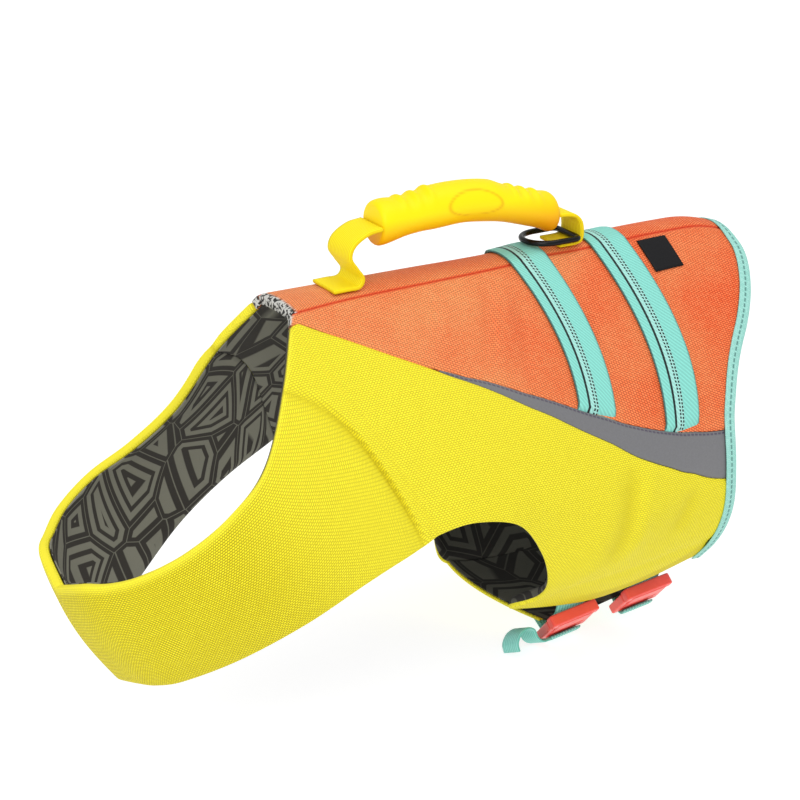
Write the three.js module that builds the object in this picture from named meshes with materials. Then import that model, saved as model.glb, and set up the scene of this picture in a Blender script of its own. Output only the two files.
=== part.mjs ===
// Life jacket for a dog, as it looks when it is filled out and buckled, with nobody in it.
// Millimetres. +Z is up, the head end is -X, the tail end is +X, and the dog's left side is -Y.
// The origin is on the inner face of the lining, in the middle of the back, where the back bears it.
import * as THREE from "three";

// Driving sizes
const FOAM = 7; // foam between two skins of nylon: the wall of every padded panel
const LINING_GAP = 0.6; // between the foam and the lining
const LINING = 0.9; // printed lining cloth with its mesh backing
const SEAM = 0.3; // gap between two pieces that are sewn together
const ROLL = { reach: 2.4, out: 2.4, inn: 4.6 }; // rolled edge at the neck: both faces come in
const TAPER = { reach: 8, out: 0.5, inn: 2.8 }; // armhole and bottom edge, where the foam runs out
const CROWN = 2.2; // the back strip stands this much proud of its two seams
const WEBBING = 1.6; // thickness of the webbing
const WEBBING_WIDTH = 25; // rear of the handle, and belly straps
const HANDLE_FRONT = 30; // front of the handle
const BACK_STRAP_WIDTH = 28; // the two straps over the back
const BINDING_WIDTH = 9.5; // tape folded round the tail edge
const BINDING_PROUD = 0.6; // tape outside the wall's two faces
const BELLY = 3; // thin padding of the belly panel
const STRAP_GAP = 0.5; // under a piece that lies on a panel

const v3 = (x, y, z) => new THREE.Vector3(x, y, z);
const lerp = THREE.MathUtils.lerp;
const clamp = THREE.MathUtils.clamp;

// The right side as a run of sections from the front centre (0) to the tail edge (17).
// top: neck edge, then the seam of the back strip. rim: lower edge of the chest band, armhole, bottom.
// bulge: how far the middle stands out. peak: where along the section. face: way it stands out, in
// degrees from straight sideways towards the head.
const SECTIONS = [
  { top: [-269, 0, -157.5], rim: [-229, 0, -231.5], bulge: 5, peak: 0.5, face: 90 },
  { top: [-266, 32, -144.5], rim: [-226, 24, -224.5], bulge: 6, peak: 0.5, face: 75 },
  { top: [-255, 49.5, -139.5], rim: [-220, 42, -219.5], bulge: 7, peak: 0.5, face: 60 },
  { top: [-238, 66, -130.5], rim: [-207, 56, -213.5], bulge: 8, peak: 0.5, face: 42 },
  { top: [-212, 76, -116.5], rim: [-177, 75.5, -197.5], bulge: 9, peak: 0.5, face: 25 },
  { top: [-182, 74, -99.5], rim: [-140, 93.5, -174.5], bulge: 9, peak: 0.5, face: 12 },
  { top: [-155, 68, -75.5], rim: [-101, 102.5, -151.5], bulge: 8, peak: 0.5, face: 5 },
  { top: [-133, 51.5, -34.5], rim: [-64, 107, -133.5], bulge: 8, peak: 0.5, face: 0 },
  { top: [-111.5, 23, 3.9], rim: [-52, 109, -126.5], bulge: 10, peak: 0.5, face: 0 },
  { top: [-66, 18.8, 5.5], rim: [-28, 113, -122.5], bulge: 14, peak: 0.5, face: 0 },
  { top: [-11, 17.2, 6.3], rim: [5, 112, -132.5], bulge: 20, peak: 0.52, face: 0 },
  { top: [28.5, 15.6, 6.7], rim: [27, 104, -160.5], bulge: 33.3, peak: 0.54, face: -3 },
  { top: [52, 14.6, 7.3], rim: [41, 90, -191.5], bulge: 47.4, peak: 0.593, face: -15 },
  { top: [66, 14, 8.4], rim: [46, 70, -211.5], bulge: 66, peak: 0.654, face: -26 },
  { top: [79, 13.8, 9.4], rim: [42, 43, -228.5], bulge: 89.5, peak: 0.659, face: -33.5 },
  { top: [114.5, 13.4, 9.5], rim: [100, 44, -236.5], bulge: 77, peak: 0.581, face: -24.7 },
  { top: [166, 12.8, 11.4], rim: [145, 48, -230.5], bulge: 67.5, peak: 0.559, face: -12.6 },
  { top: [229, 12, 11.8], rim: [180, 62, -213.5], bulge: 56, peak: 0.56, face: 0 },
];
const CREASE = 7; // fold between the chest band and the body
const CORNER = 8; // front corner of the back strip
const LOBE = 14; // front tip of the bottom edge, under the armhole
const HEM = 17; // tail edge

// How far the tail edge leaves its straight section, along X: a hollow in the middle
const HEM_SWEEP = [
  { t: 0, x: 0 }, { t: 0.03, x: 2 }, { t: 0.07, x: 4 }, { t: 0.13, x: 2.3 }, { t: 0.18, x: -1.4 },
  { t: 0.24, x: -8.2 }, { t: 0.29, x: -15 }, { t: 0.345, x: -20.5 }, { t: 0.41, x: -24 },
  { t: 0.5, x: -25.5 }, { t: 0.65, x: -19 }, { t: 0.82, x: -6 }, { t: 0.93, x: 0 }, { t: 1, x: 0 },
];
const HEM_DROOP = { from: 16.5, fall: 5.6, reach: 0.12 }; // the end of the back bends down
// Seams across the side, as a share of the way down each section.
const YELLOW_TOP = [
  { s: 7.81, t: 0 }, { s: 8.18, t: 0.078 }, { s: 8.51, t: 0.139 }, { s: 8.85, t: 0.203 },
  { s: 9.4, t: 0.302 }, { s: 9.72, t: 0.356 }, { s: 10.18, t: 0.4 }, { s: 10.81, t: 0.428 },
  { s: 11.59, t: 0.441 }, { s: 12.51, t: 0.464 }, { s: 13.59, t: 0.494 }, { s: 14.52, t: 0.528 },
  { s: 15.05, t: 0.552 }, { s: 15.93, t: 0.592 }, { s: 17, t: 0.678 },
];
const SHOULDER = 7.83; // where the orange side begins at the neck edge
const GREY_TIP = 9.4;
const GREY_TOP = [
  { s: 9.4, t: 0.302 }, { s: 9.66, t: 0.332 }, { s: 9.91, t: 0.357 }, { s: 10.7, t: 0.38 },
  { s: 11.75, t: 0.386 }, { s: 12.79, t: 0.402 }, { s: 13.83, t: 0.417 }, { s: 14.66, t: 0.437 },
  { s: 15.21, t: 0.451 }, { s: 16.06, t: 0.477 }, { s: 17, t: 0.525 },
];

// Smooth curve through a table's rows
function through(rows, from, to) {
  return (x) => {
    const k = clamp(rows.findIndex((row) => row[from] > x) - 1, 0, rows.length - 2);
    const i = x >= rows[rows.length - 1][from] ? rows.length - 2 : k;
    const slope = (j) => {
      const a = rows[Math.max(j - 1, 0)];
      const b = rows[Math.min(j + 1, rows.length - 1)];
      return (b[to] - a[to]) / (b[from] - a[from]);
    };
    const a = rows[i];
    const b = rows[i + 1];
    const h = b[from] - a[from];
    const f = clamp((x - a[from]) / h, 0, 1);
    const rise = b[to] - a[to];
    return a[to] + f * (h * slope(i) + f * (3 * rise - h * (2 * slope(i) + slope(i + 1))
      + f * (h * (slope(i) + slope(i + 1)) - 2 * rise)));
  };
}
const hemSweep = through(HEM_SWEEP, "t", "x");
const yellowLine = through(YELLOW_TOP, "s", "t");
const greyLine = through(GREY_TOP, "s", "t");
const yellowTop = (s) => (s < YELLOW_TOP[0].s ? 0 : yellowLine(s));
const greyTop = (s) => (s < GREY_TIP ? yellowTop(s) : Math.min(greyLine(s), yellowTop(s)));

const spline = (points) => new THREE.CatmullRomCurve3(points, false, "catmullrom", 0.5);
const neckEdge = spline(SECTIONS.slice(0, CORNER + 1).map((row) => v3(...row.top)));
const backSeam = spline(SECTIONS.slice(CORNER).map((row) => v3(...row.top)));
const rimEdge = spline(SECTIONS.map((row) => v3(...row.rim)));
const fullness = spline(SECTIONS.map((row) => v3(row.bulge, row.peak * 100, row.face)));

const droop = (s) => HEM_DROOP.fall * Math.max(0, (s - HEM_DROOP.from) / (HEM - HEM_DROOP.from)) ** 2;
function topAt(s) {
  if (s < CORNER) return neckEdge.getPoint(Math.max(s, 0) / CORNER);
  return backSeam.getPoint(Math.min((s - CORNER) / (HEM - CORNER), 1));
}

// A point on the outer face of the right side: s counts sections, t runs from the top to the rim.
function side(s, t) {
  const bend = Math.max(0, 1 - Math.abs(s - CREASE) / (s < CREASE ? 1.5 : 1));
  const u = s + 0.52 * bend * Math.sin(Math.PI * clamp(t, 0, 1));
  const form = fullness.getPoint(u / HEM);
  const peak = form.y / 100;
  const out = t < peak ? 1 - (1 - t / peak) ** 2 : 1 - ((t - peak) / (1 - peak)) ** 2;
  const turn = THREE.MathUtils.degToRad(form.z);
  const point = topAt(u).lerp(rimEdge.getPoint(u / HEM), t);
  point.x -= Math.sin(turn) * form.x * out;
  point.y += Math.cos(turn) * form.x * out;
  point.x += hemSweep(t) * THREE.MathUtils.smoothstep(s, HEM - 2.4, HEM);
  point.z -= droop(s) * Math.max(0, 1 - t / HEM_DROOP.reach) ** 1.5;
  return point;
}

function sideNormal(s, t) {
  const ds = 0.12;
  const dt = 0.02;
  const along = side(Math.min(s + ds, HEM), t).sub(side(Math.max(s - ds, 0), t));
  const down = side(s, Math.min(t + dt, 1)).sub(side(s, Math.max(t - dt, 0)));
  const normal = along.cross(down);
  if (s < 0.01) normal.y = 0;
  return normal.normalize();
}

// The back strip: f runs from -1 at the left seam to 1 at the right seam.
function back(s, f) {
  const edge = topAt(s);
  return v3(edge.x, edge.y * f, edge.z + CROWN * (1 - f * f) - droop(s));
}

function backNormal(s, f) {
  const ds = 0.1;
  const along = back(Math.min(s + ds, HEM), f).sub(back(Math.max(s - ds, CORNER), f));
  const across = back(s, f + 0.05).sub(back(s, f - 0.05));
  return along.cross(across).normalize();
}

// Where two walls meet at the back seam, both end on the line that halves the angle between them.
function seamNormal(s) {
  const a = sideNormal(s, 0);
  const b = backNormal(s, 1);
  return a.clone().add(b).multiplyScalar(1 / (1 + a.dot(b)));
}

function sideOutward(s, t) {
  return s >= CORNER && t <= 0.004 ? seamNormal(s) : sideNormal(s, t);
}

function backOutward(s, f) {
  if (Math.abs(f) < 0.985) return backNormal(s, f);
  const normal = seamNormal(s);
  normal.y *= Math.sign(f);
  return normal;
}

// Closed body between an outer and an inner grid of points
function closedWall(outer, inner) {
  const columns = outer.length;
  const rows = outer[0].length;
  const points = [...outer.flat(), ...inner.flat()];
  const at = (i, j) => i * rows + j;
  const below = columns * rows;
  const faces = [];
  const quad = (a, b, c, d) => faces.push(a, b, c, a, c, d);
  for (let i = 0; i < columns - 1; i += 1) {
    for (let j = 0; j < rows - 1; j += 1) {
      quad(at(i, j), at(i + 1, j), at(i + 1, j + 1), at(i, j + 1));
      quad(below + at(i, j), below + at(i, j + 1), below + at(i + 1, j + 1), below + at(i + 1, j));
    }
  }
  for (let i = 0; i < columns - 1; i += 1) {
    quad(at(i, 0), below + at(i, 0), below + at(i + 1, 0), at(i + 1, 0));
    quad(at(i, rows - 1), at(i + 1, rows - 1), below + at(i + 1, rows - 1), below + at(i, rows - 1));
  }
  for (let j = 0; j < rows - 1; j += 1) {
    const end = at(columns - 1, j);
    quad(at(0, j), at(0, j + 1), below + at(0, j + 1), below + at(0, j));
    quad(end, below + end, below + end + 1, end + 1);
  }
  return solid(points, faces);
}

// Closed body through a row of rings, with flat ends, or end to end where it is a loop
function loft(rings, loop = false) {
  const count = rings[0].length;
  const points = rings.flat();
  const faces = [];
  const spans = loop ? rings.length : rings.length - 1;
  for (let i = 0; i < spans; i += 1) {
    const next = ((i + 1) % rings.length) * count;
    for (let j = 0; j < count; j += 1) {
      const k = (j + 1) % count;
      faces.push(i * count + j, i * count + k, next + k, i * count + j, next + k, next + j);
    }
  }
  if (!loop) {
    const last = (rings.length - 1) * count;
    for (let j = 1; j < count - 1; j += 1) {
      faces.push(0, j + 1, j, last, last + j, last + j + 1);
    }
  }
  return solid(points, faces);
}

function solid(points, faces) {
  let volume = 0;
  for (let i = 0; i < faces.length; i += 3) {
    volume += points[faces[i]].dot(points[faces[i + 1]].clone().cross(points[faces[i + 2]]));
  }
  const order = volume < 0 ? faces.toReversed() : faces;
  const geometry = new THREE.BufferGeometry().setFromPoints(points);
  geometry.setIndex(order);
  return geometry;
}

// Finishes, with the colours of the cloth, rubber, resin and steel
function finish(color, roughness, metalness = 0) {
  return new THREE.MeshStandardMaterial({ color, roughness, metalness });
}
const yellowNylon = finish("#f2e51c", 0.75);
const orangeNylon = finish("#ff6e40", 0.75);
const greyReflective = finish("#8b8c8f", 0.5);
const printedLining = finish("#4a4a44", 0.9);
const aquaBinding = finish("#a5e2d6", 0.7);
const aquaWebbing = finish("#84dcca", 0.7);
const yellowWebbing = finish("#ffd800", 0.7);
const yellowRubber = finish("#ffe500", 0.55);
const blackSteel = finish("#16161a", 0.3, 0.6);
const coralResin = finish("#f2544c", 0.4);
const blackLabel = finish("#1c1d22", 0.6);

const jacket = new THREE.Group();
function add(name, geometry, material) {
  geometry.computeVertexNormals();
  const mesh = new THREE.Mesh(geometry, material);
  mesh.name = name;
  jacket.add(mesh);
  return mesh;
}

const SIDES = [{ word: "left", y: -1 }, { word: "right", y: 1 }];
const spread = (from, to, count) => Array.from({ length: count + 1 }, (_, i) => lerp(from, to, i / count));

// Rows down one section of a panel between two edges. An edge is rolled, tapered or sewn.
const SEWN = { reach: ROLL.reach, out: 0, inn: FOAM };
function rowsBetween(s, t0, t1, count, edge0, edge1) {
  const length = side(s, t0).distanceTo(side(s, t1)) / Math.max(t1 - t0, 1e-6);
  const row = (t, { out, inn }) => ({ t, out, inn });
  const third = (t1 - t0) / 3;
  const inner0 = t0 + Math.min(edge0.reach / length, third);
  const inner1 = t1 - Math.min(edge1.reach / length, third);
  const gap = SEAM / 2 / length;
  const rows = [row(t0 + (edge0 === SEWN ? gap : 0), edge0)];
  if (count > 2) rows.push(row(inner0, SEWN));
  const middle = count > 2 ? spread(inner0, inner1, count - 2).slice(1, -1) : [(t0 + t1) / 2];
  middle.forEach((t) => rows.push(row(t, SEWN)));
  if (count > 2) rows.push(row(inner1, SEWN));
  rows.push(row(t1 - (edge1 === SEWN ? gap : 0), edge1));
  return rows;
}

// A sewn edge across the panel moves in by half a seam.
function columnAt(sections, i, t) {
  const s = sections[i];
  if (i > 0 && i < sections.length - 1) return s;
  const step = i === 0 ? 0.02 : -0.02;
  const speed = side(s, t).distanceTo(side(s + step, t)) / step;
  return s + SEAM / 2 / speed;
}

function sidePanel(y, sections, rowsAt) {
  const outer = [];
  const inner = [];
  sections.forEach((s, i) => {
    const lines = rowsAt(s);
    const place = (depth) => lines.map((line) => {
      const point = side(columnAt(sections, i, line.t), line.t);
      point.addScaledVector(sideOutward(s, line.t), -depth(line));
      point.y *= y;
      return point;
    });
    outer.push(place((line) => line.out));
    inner.push(place((line) => line.inn));
  });
  return closedWall(outer, inner);
}

// Sections where the panels are worked out: closer together round the armhole and at the corner
const bandSections = spread(0, CREASE, 14);
const bottomSections = spread(LOBE, HEM, 7);
const WEDGE_START = GREY_TIP + 0.15;
const bodySections = [
  ...spread(CREASE, SHOULDER, 2), ...spread(CORNER, GREY_TIP, 3), WEDGE_START,
  ...spread(GREY_TIP + 0.5, LOBE, 8).slice(0, -1), ...bottomSections,
];
const liningDepth = { out: FOAM + LINING_GAP, inn: FOAM + LINING_GAP + LINING };
const WALL = liningDepth.inn;

// The lining follows the panels' own rows and inner face, so that it stays the same distance behind.
function liningRows(s) {
  const seam = Math.max(yellowTop(s), 0.1);
  const grey = Math.min(greyTop(s), seam - 0.02);
  const upper = rowsBetween(s, s < CORNER ? 0.012 : 0, grey, 5, SEWN, SEWN).slice(0, -1);
  const lower = rowsBetween(s, seam, 1, 7, SEWN, TAPER).slice(1);
  const joins = [grey, (grey + seam) / 2, seam].map((t) => ({ t, inn: FOAM }));
  return [...upper, ...joins, ...lower].map(({ t, inn }) => {
    const out = inn + LINING_GAP;
    return { t, out, inn: out + LINING };
  });
}

// Chest band: a padded band from the crease round to the front centre, where its two ends are closed
for (const { word, y } of SIDES) {
  const rows = (s) => rowsBetween(s, 0, 1, 7, ROLL, TAPER);
  add(`chest_band_${word}`, sidePanel(y, bandSections, rows), yellowNylon);
  const lined = liningRows(CREASE);
  add(`lining_band_${word}`, sidePanel(y, bandSections, () => lined), printedLining);
}

// Side of the body: orange above, a grey reflective wedge, and yellow below down to the rim
for (const { word, y } of SIDES) {
  const yellowRows = (s) => rowsBetween(s, yellowTop(s), 1, 7, s < SHOULDER ? ROLL : SEWN, TAPER);
  add(`lower_side_${word}`, sidePanel(y, bodySections, yellowRows), yellowNylon);
  const orangeSections = [SHOULDER + 0.04, ...bodySections.filter((s) => s >= CORNER)];
  const orangeRows = (s) => rowsBetween(s, 0, greyTop(s), 5, SEWN, SEWN);
  add(`upper_side_${word}`, sidePanel(y, orangeSections, orangeRows), orangeNylon);
  const wedgeSections = bodySections.filter((s) => s >= WEDGE_START);
  const wedgeRows = (s) => rowsBetween(s, greyTop(s) + 0.001, yellowTop(s) - 0.001, 2, SEWN, SEWN)
    .map((row) => ({ ...row, inn: FOAM - 0.7 }));
  add(`reflective_wedge_${word}`, sidePanel(y, wedgeSections, wedgeRows), greyReflective);
  add(`lining_body_${word}`, sidePanel(y, bodySections, liningRows), printedLining);
}

// Back strip between the two side seams, with the same build
const backSections = bodySections.filter((s) => s >= CORNER);
function backPanel(depths, inset) {
  const shares = [-1, -0.62, -0.22, 0.22, 0.62, 1];
  const grid = (depth) => backSections.map((s, i) => shares.map((share) => {
    const edge = topAt(s).y;
    const f = share * (1 - SEAM / 2 / edge);
    const front = i === 0 ? inset : 0;
    const end = i === backSections.length - 1 ? -SEAM / 2 : 0;
    const point = back(s, f).addScaledVector(backOutward(s, f), -depth(i));
    point.x += front + end;
    return point;
  }));
  return closedWall(grid(depths.out), grid(depths.inn));
}
add("back_panel", backPanel({ out: (i) => (i ? 0 : ROLL.out / 2), inn: () => FOAM }, 0), orangeNylon);
add("lining_back", backPanel({ out: () => liningDepth.out, inn: () => liningDepth.inn }, 1), printedLining);

// Binding: one tape folded round the tail edge, from the left rim over the back to the right rim
function bindingRing(point, normal, along) {
  const rear = along.clone().cross(normal).normalize();
  if (rear.x < 0) rear.negate();
  const chamfer = 2.2;
  const top = BINDING_PROUD;
  const bottom = -(WALL + BINDING_PROUD);
  const start = 2 * SEAM;
  const end = BINDING_WIDTH;
  const outline = [
    [start, top], [end - chamfer, top], [end, top - chamfer], [end, bottom + chamfer],
    [end - chamfer, bottom], [start, bottom],
  ];
  return outline.map(([r, n]) => point.clone().addScaledVector(rear, r).addScaledVector(normal, n));
}
{
  const rows = [0, ...liningRows(HEM).map((row) => row.t).slice(1)];
  const stations = [
    ...rows.toReversed().map((t) => ({ point: side(HEM, t), normal: sideOutward(HEM, t), y: -1 })),
    ...[-0.5, 0, 0.5].map((f) => ({ point: back(HEM, f), normal: backNormal(HEM, f), y: 1 })),
    ...rows.map((t) => ({ point: side(HEM, t), normal: sideOutward(HEM, t), y: 1 })),
  ];
  stations.forEach((station) => {
    station.point.y *= station.y;
    station.normal.y *= station.y;
  });
  const rings = stations.map((station, i) => {
    const before = stations[Math.max(i - 1, 0)].point;
    const after = stations[Math.min(i + 1, stations.length - 1)].point;
    return bindingRing(station.point, station.normal, after.clone().sub(before));
  });
  add("hem_binding", loft(rings), aquaBinding);
}

// A section number at a given X, for pieces that are placed by their distance from the origin
function sectionAtX(x, pointAt) {
  let low = CREASE;
  let high = HEM;
  for (let i = 0; i < 40; i += 1) {
    const middle = (low + high) / 2;
    if (pointAt(middle).x < x) low = middle;
    else high = middle;
  }
  return (low + high) / 2;
}

// Two webbing straps over the back, from wedge to wedge, lying on the panels. x is where the middle
// crosses the back, and lean and bow say how it goes on, by the share of the way down the side.
const BACK_STRAPS = [
  { name: "back_strap_front", x: 68.8, lean: 90, bow: -170 },
  { name: "back_strap_rear", x: 133, lean: 90, bow: -155 },
];
for (const { name, x, lean, bow } of BACK_STRAPS) {
  const lift = { low: STRAP_GAP, high: STRAP_GAP + WEBBING };
  const shares = [-0.5, 0, 0.5];
  const stations = [];
  const centre = sectionAtX(x, (s) => side(s, 0.3));
  const end = greyTop(centre);
  spread(1, 0, 7).forEach((k) => stations.push({ y: -1, k }));
  [-0.62, -0.22, 0.22, 0.62].forEach((f) => stations.push({ f }));
  spread(0, 1, 7).forEach((k) => stations.push({ y: 1, k }));
  const grid = (height) => shares.map((share) => stations.map(({ y, k, f }) => {
    if (f !== undefined) {
      const s = sectionAtX(x + share * BACK_STRAP_WIDTH, (q) => back(q, f));
      return back(s, f).addScaledVector(backNormal(s, f), height);
    }
    let t = k * end;
    const middle = () => x + lean * t + bow * t * t;
    const find = () => sectionAtX(middle() + share * BACK_STRAP_WIDTH, (q) => side(q, t));
    if (k === 1) t = greyTop(find()) - 0.004;
    const s = find();
    const point = side(s, t).addScaledVector(sideOutward(s, t), height);
    point.y *= y;
    return point;
  }));
  add(name, closedWall(grid(lift.high), grid(lift.low)), aquaWebbing);
}

// Small black label below the back seam, on the left side
{
  const corner = { top: 0.012, bottom: 0.083 };
  const grid = (height) => [0, 0.5, 1].map((a) => [0, 0.5, 1].map((b) => {
    const t = lerp(corner.top, corner.bottom, b);
    const s = sectionAtX(lerp(155, 178, a) + 4 * b, (q) => side(q, t));
    const point = side(s, t).addScaledVector(sideNormal(s, t), height);
    point.y *= -1;
    return point;
  }));
  add("label_patch", closedWall(grid(STRAP_GAP + 0.9), grid(STRAP_GAP)), blackLabel);
}

// A flat strip of webbing along a path of places, each with the way its width and its face point
function webbingStrip(path, width, thickness, across) {
  const curve = spline(path.map(([x, y, z]) => v3(x, y, z)));
  const steps = path.length * 2;
  const rings = spread(0, 1, steps).map((q) => {
    const point = curve.getPoint(q);
    const face = curve.getTangent(q).cross(across).normalize();
    const low = face.clone().multiplyScalar(-thickness / 2);
    const high = low.clone().negate();
    const edge = (a, height) => point.clone().addScaledVector(across, a * width / 2).add(height);
    return [edge(-1, low), edge(1, low), edge(1, high), edge(-1, high)];
  });
  return loft(rings);
}

// D-ring of round steel bar: bar is its straight side, bow its far end, half half its width
const D_RING = { wire: 2, bar: 109.8, bow: 76, half: 15, z: 17.1, dip: 0.4 };

// Handle: a moulded rubber grip on webbing, with one foot sewn to the back strip at each end
const acrossY = v3(0, 1, 0);
const backTop = (x) => back(sectionAtX(x, (s) => back(s, 0)), 0).z;
const footHeight = (x) => backTop(x) + SEAM + WEBBING / 2;
const HANDLE_WEBBING = 2.4; // doubled and stitched
const FRONT_FOOT = { start: -76, end: -58 };
const footMiddle = (x) => footHeight(x) + (HANDLE_WEBBING - WEBBING) / 2;
const frontPath = [
  [FRONT_FOOT.start, 0, footMiddle(FRONT_FOOT.start)], [-67, 0, footMiddle(-67)],
  [FRONT_FOOT.end, 0, footMiddle(FRONT_FOOT.end) + 0.2], [-55, 0, 15], [-59.5, 0, 22], [-64, 0, 29.5],
  [-61, 0, 37.5], [-51, 0, 43.5], [-40.6, 0, 45.2],
];
add("handle_strap_front", webbingStrip(frontPath, HANDLE_FRONT, HANDLE_WEBBING, acrossY), yellowWebbing);
const loop = (x, z) => [D_RING.bar + x, 0, z];
const loopFoot = (x) => loop(x, footMiddle(D_RING.bar + x));
const rearPath = [
  loop(-13.7, 33.8), loop(-7.3, 33.4), loop(-1, 31.6), loop(2.6, 27.6), loop(3.9, 22.3), loop(3.8, 17.4),
  loop(2.3, 14.3), loop(-1, 13.3), loopFoot(-5), loopFoot(-9.5), loopFoot(-14),
];
add("handle_strap_rear", webbingStrip(rearPath, WEBBING_WIDTH, HANDLE_WEBBING, acrossY), yellowWebbing);

// Grip stations: x, height of the middle, half height and half width. Three shallow finger
// ridges stand on top near each end.
const GRIP = [
  { x: -40, z: 45.2, high: 14.6, wide: 14.5 }, { x: -33, z: 46.2, high: 14.8, wide: 15 },
  { x: -20, z: 47.4, high: 13, wide: 14.3 }, { x: -8, z: 49, high: 13.2, wide: 14.3 },
  { x: 3, z: 50.3, high: 14.3, wide: 14.5 }, { x: 25, z: 51.1, high: 14, wide: 14.5 },
  { x: 46, z: 48.8, high: 14, wide: 14.3 }, { x: 56, z: 45.9, high: 12.9, wide: 14 },
  { x: 68, z: 42, high: 12.4, wide: 13.8 }, { x: 84, z: 37.2, high: 12.6, wide: 13.8 },
  { x: 91, z: 35.2, high: 13.6, wide: 14 }, { x: 95.5, z: 34.2, high: 12.8, wide: 13.4 },
];
const RIDGES = [-21.5, -11.5, -1.5, 63, 72, 81];
const RIDGE = { height: 1.3, half: 4 };
const ridgeAt = (x) => RIDGES.reduce((sum, ridge) => {
  const away = Math.abs(x - ridge) / RIDGE.half;
  return away < 1 ? sum + RIDGE.height * Math.cos(away * Math.PI / 2) : sum;
}, 0);
{
  const middle = through(GRIP, "x", "z");
  const high = through(GRIP, "x", "high");
  const wide = through(GRIP, "x", "wide");
  const first = GRIP[0].x;
  const last = GRIP[GRIP.length - 1].x;
  const sides = 12;
  const rings = spread(first, last, 30).map((x) => {
    const ridge = ridgeAt(x);
    return Array.from({ length: sides }, (_, k) => {
      const angle = (k + 0.5) / sides * Math.PI * 2;
      const up = Math.sin(angle);
      const lift = up > 0.3 ? ridge : 0;
      return v3(x, Math.cos(angle) * wide(x), middle(x) + up * (high(x) + lift));
    });
  });
  add("handle_grip", loft(rings), yellowRubber);
}

// The D-ring lies flat on its loop, with its bow towards the head.
{
  const { bar, bow, half, wire } = D_RING;
  const corner = 4.5;
  const at = (x, y) => v3(x, y, D_RING.z - D_RING.dip * (bar - x) / (bar - bow));
  const inner = half - corner;
  const bowStart = bow + half + 2;
  const path = new THREE.CurvePath();
  path.add(new THREE.LineCurve3(at(bar, -inner), at(bar, inner)));
  path.add(new THREE.QuadraticBezierCurve3(at(bar, inner), at(bar, half), at(bar - corner, half)));
  path.add(new THREE.LineCurve3(at(bar - corner, half), at(bowStart, half)));
  const round = [at(bowStart, half), at(bow - 6, half), at(bow - 6, -half), at(bowStart, -half)];
  path.add(new THREE.CubicBezierCurve3(...round));
  path.add(new THREE.LineCurve3(at(bowStart, -half), at(bar - corner, -half)));
  path.add(new THREE.QuadraticBezierCurve3(at(bar - corner, -half), at(bar, -half), at(bar, -inner)));
  const steps = 32;
  const up = v3(0, 0, 1);
  const rings = Array.from({ length: steps }, (_, i) => {
    const point = path.getPointAt(i / steps);
    const out = path.getTangentAt(i / steps).cross(up).normalize();
    return Array.from({ length: 8 }, (_, k) => {
      const angle = k / 8 * Math.PI * 2;
      const place = point.clone().addScaledVector(out, Math.cos(angle) * wire);
      return place.addScaledVector(up, Math.sin(angle) * wire);
    });
  });
  add("d_ring", loft(rings, true), blackSteel);
}

// Belly panel: sewn along the right bottom rim, hanging across to the left side
const BELLY_NEAR = { front: v3(85.5, -13, -260.5), rear: v3(182, -13, -246.5) };
const BELLY_SAG = { front: v3(50, 25, -245.5), rear: v3(180, 30, -239.5) };
function bellyPoint(a, b) {
  const s = lerp(LOBE, HEM, a);
  const far = side(s, 1);
  const drop = side(s, 1).sub(side(s, 0.97)).normalize();
  far.addScaledVector(drop, 4 * SEAM).addScaledVector(sideNormal(s, 1), -1.6);
  const sag = BELLY_SAG.front.clone().lerp(BELLY_SAG.rear, a);
  const near = BELLY_NEAR.front.clone().lerp(BELLY_NEAR.rear, a);
  return new THREE.QuadraticBezierCurve3(far, sag, near).getPoint(b);
}
function bellyNormal(a, b) {
  const h = 0.02;
  const along = bellyPoint(Math.min(a + h, 1), b).sub(bellyPoint(Math.max(a - h, 0), b));
  const across = bellyPoint(a, Math.min(b + h, 1)).sub(bellyPoint(a, Math.max(b - h, 0)));
  const normal = along.cross(across).normalize();
  return normal.z > 0 ? normal.negate() : normal;
}
const bellyAt = (a, b, height) => bellyPoint(a, b).addScaledVector(bellyNormal(a, b), height);
const bellyGrid = (as, bs, depth) => as.map((a) => bs.map((b) => bellyAt(a, b, -depth)));
{
  const along = spread(0, 1, bottomSections.length - 1);
  const across = spread(0, 1, 8);
  add("belly_panel", closedWall(bellyGrid(along, across, 0), bellyGrid(along, across, BELLY)), yellowNylon);
  const pulledIn = (places) => [0.012, ...places.slice(1, -1), 0.988];
  const inside = pulledIn(along);
  const insideAcross = pulledIn(across);
  const low = BELLY + LINING_GAP;
  const grids = [bellyGrid(inside, insideAcross, low), bellyGrid(inside, insideAcross, low + LINING)];
  add("lining_belly", closedWall(...grids), printedLining);
}

// Two buckles hang between the belly panel's edge and the left rim. Each has a socket with two side
// windows on the upper half, and a prong half with a ladder for the webbing below.
const BUCKLE = { width: 38, length: 33, thick: 8, arm: 5.2, slot: 3.6, bar: 3 };
const BUCKLES = [
  { word: "front", corner: v3(78.5, -21, -267.5), rise: 8 },
  { word: "rear", corner: v3(140, -21, -261.5), rise: 7 },
];
function rectangle(shape, x0, y0, x1, y1, r) {
  shape.moveTo(x0 + r, y0).lineTo(x1 - r, y0).quadraticCurveTo(x1, y0, x1, y0 + r);
  shape.lineTo(x1, y1 - r).quadraticCurveTo(x1, y1, x1 - r, y1).lineTo(x0 + r, y1);
  shape.quadraticCurveTo(x0, y1, x0, y1 - r).lineTo(x0, y0 + r).quadraticCurveTo(x0, y0, x0 + r, y0);
  return shape;
}
function plate(shape, thick, bevel) {
  const edge = { bevelSize: bevel, bevelThickness: bevel, bevelOffset: -bevel, bevelSegments: 1 };
  const options = { depth: thick - 2 * bevel, curveSegments: 3, ...edge };
  return new THREE.ExtrudeGeometry(shape, options).translate(0, 0, -thick / 2 + bevel);
}
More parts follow.
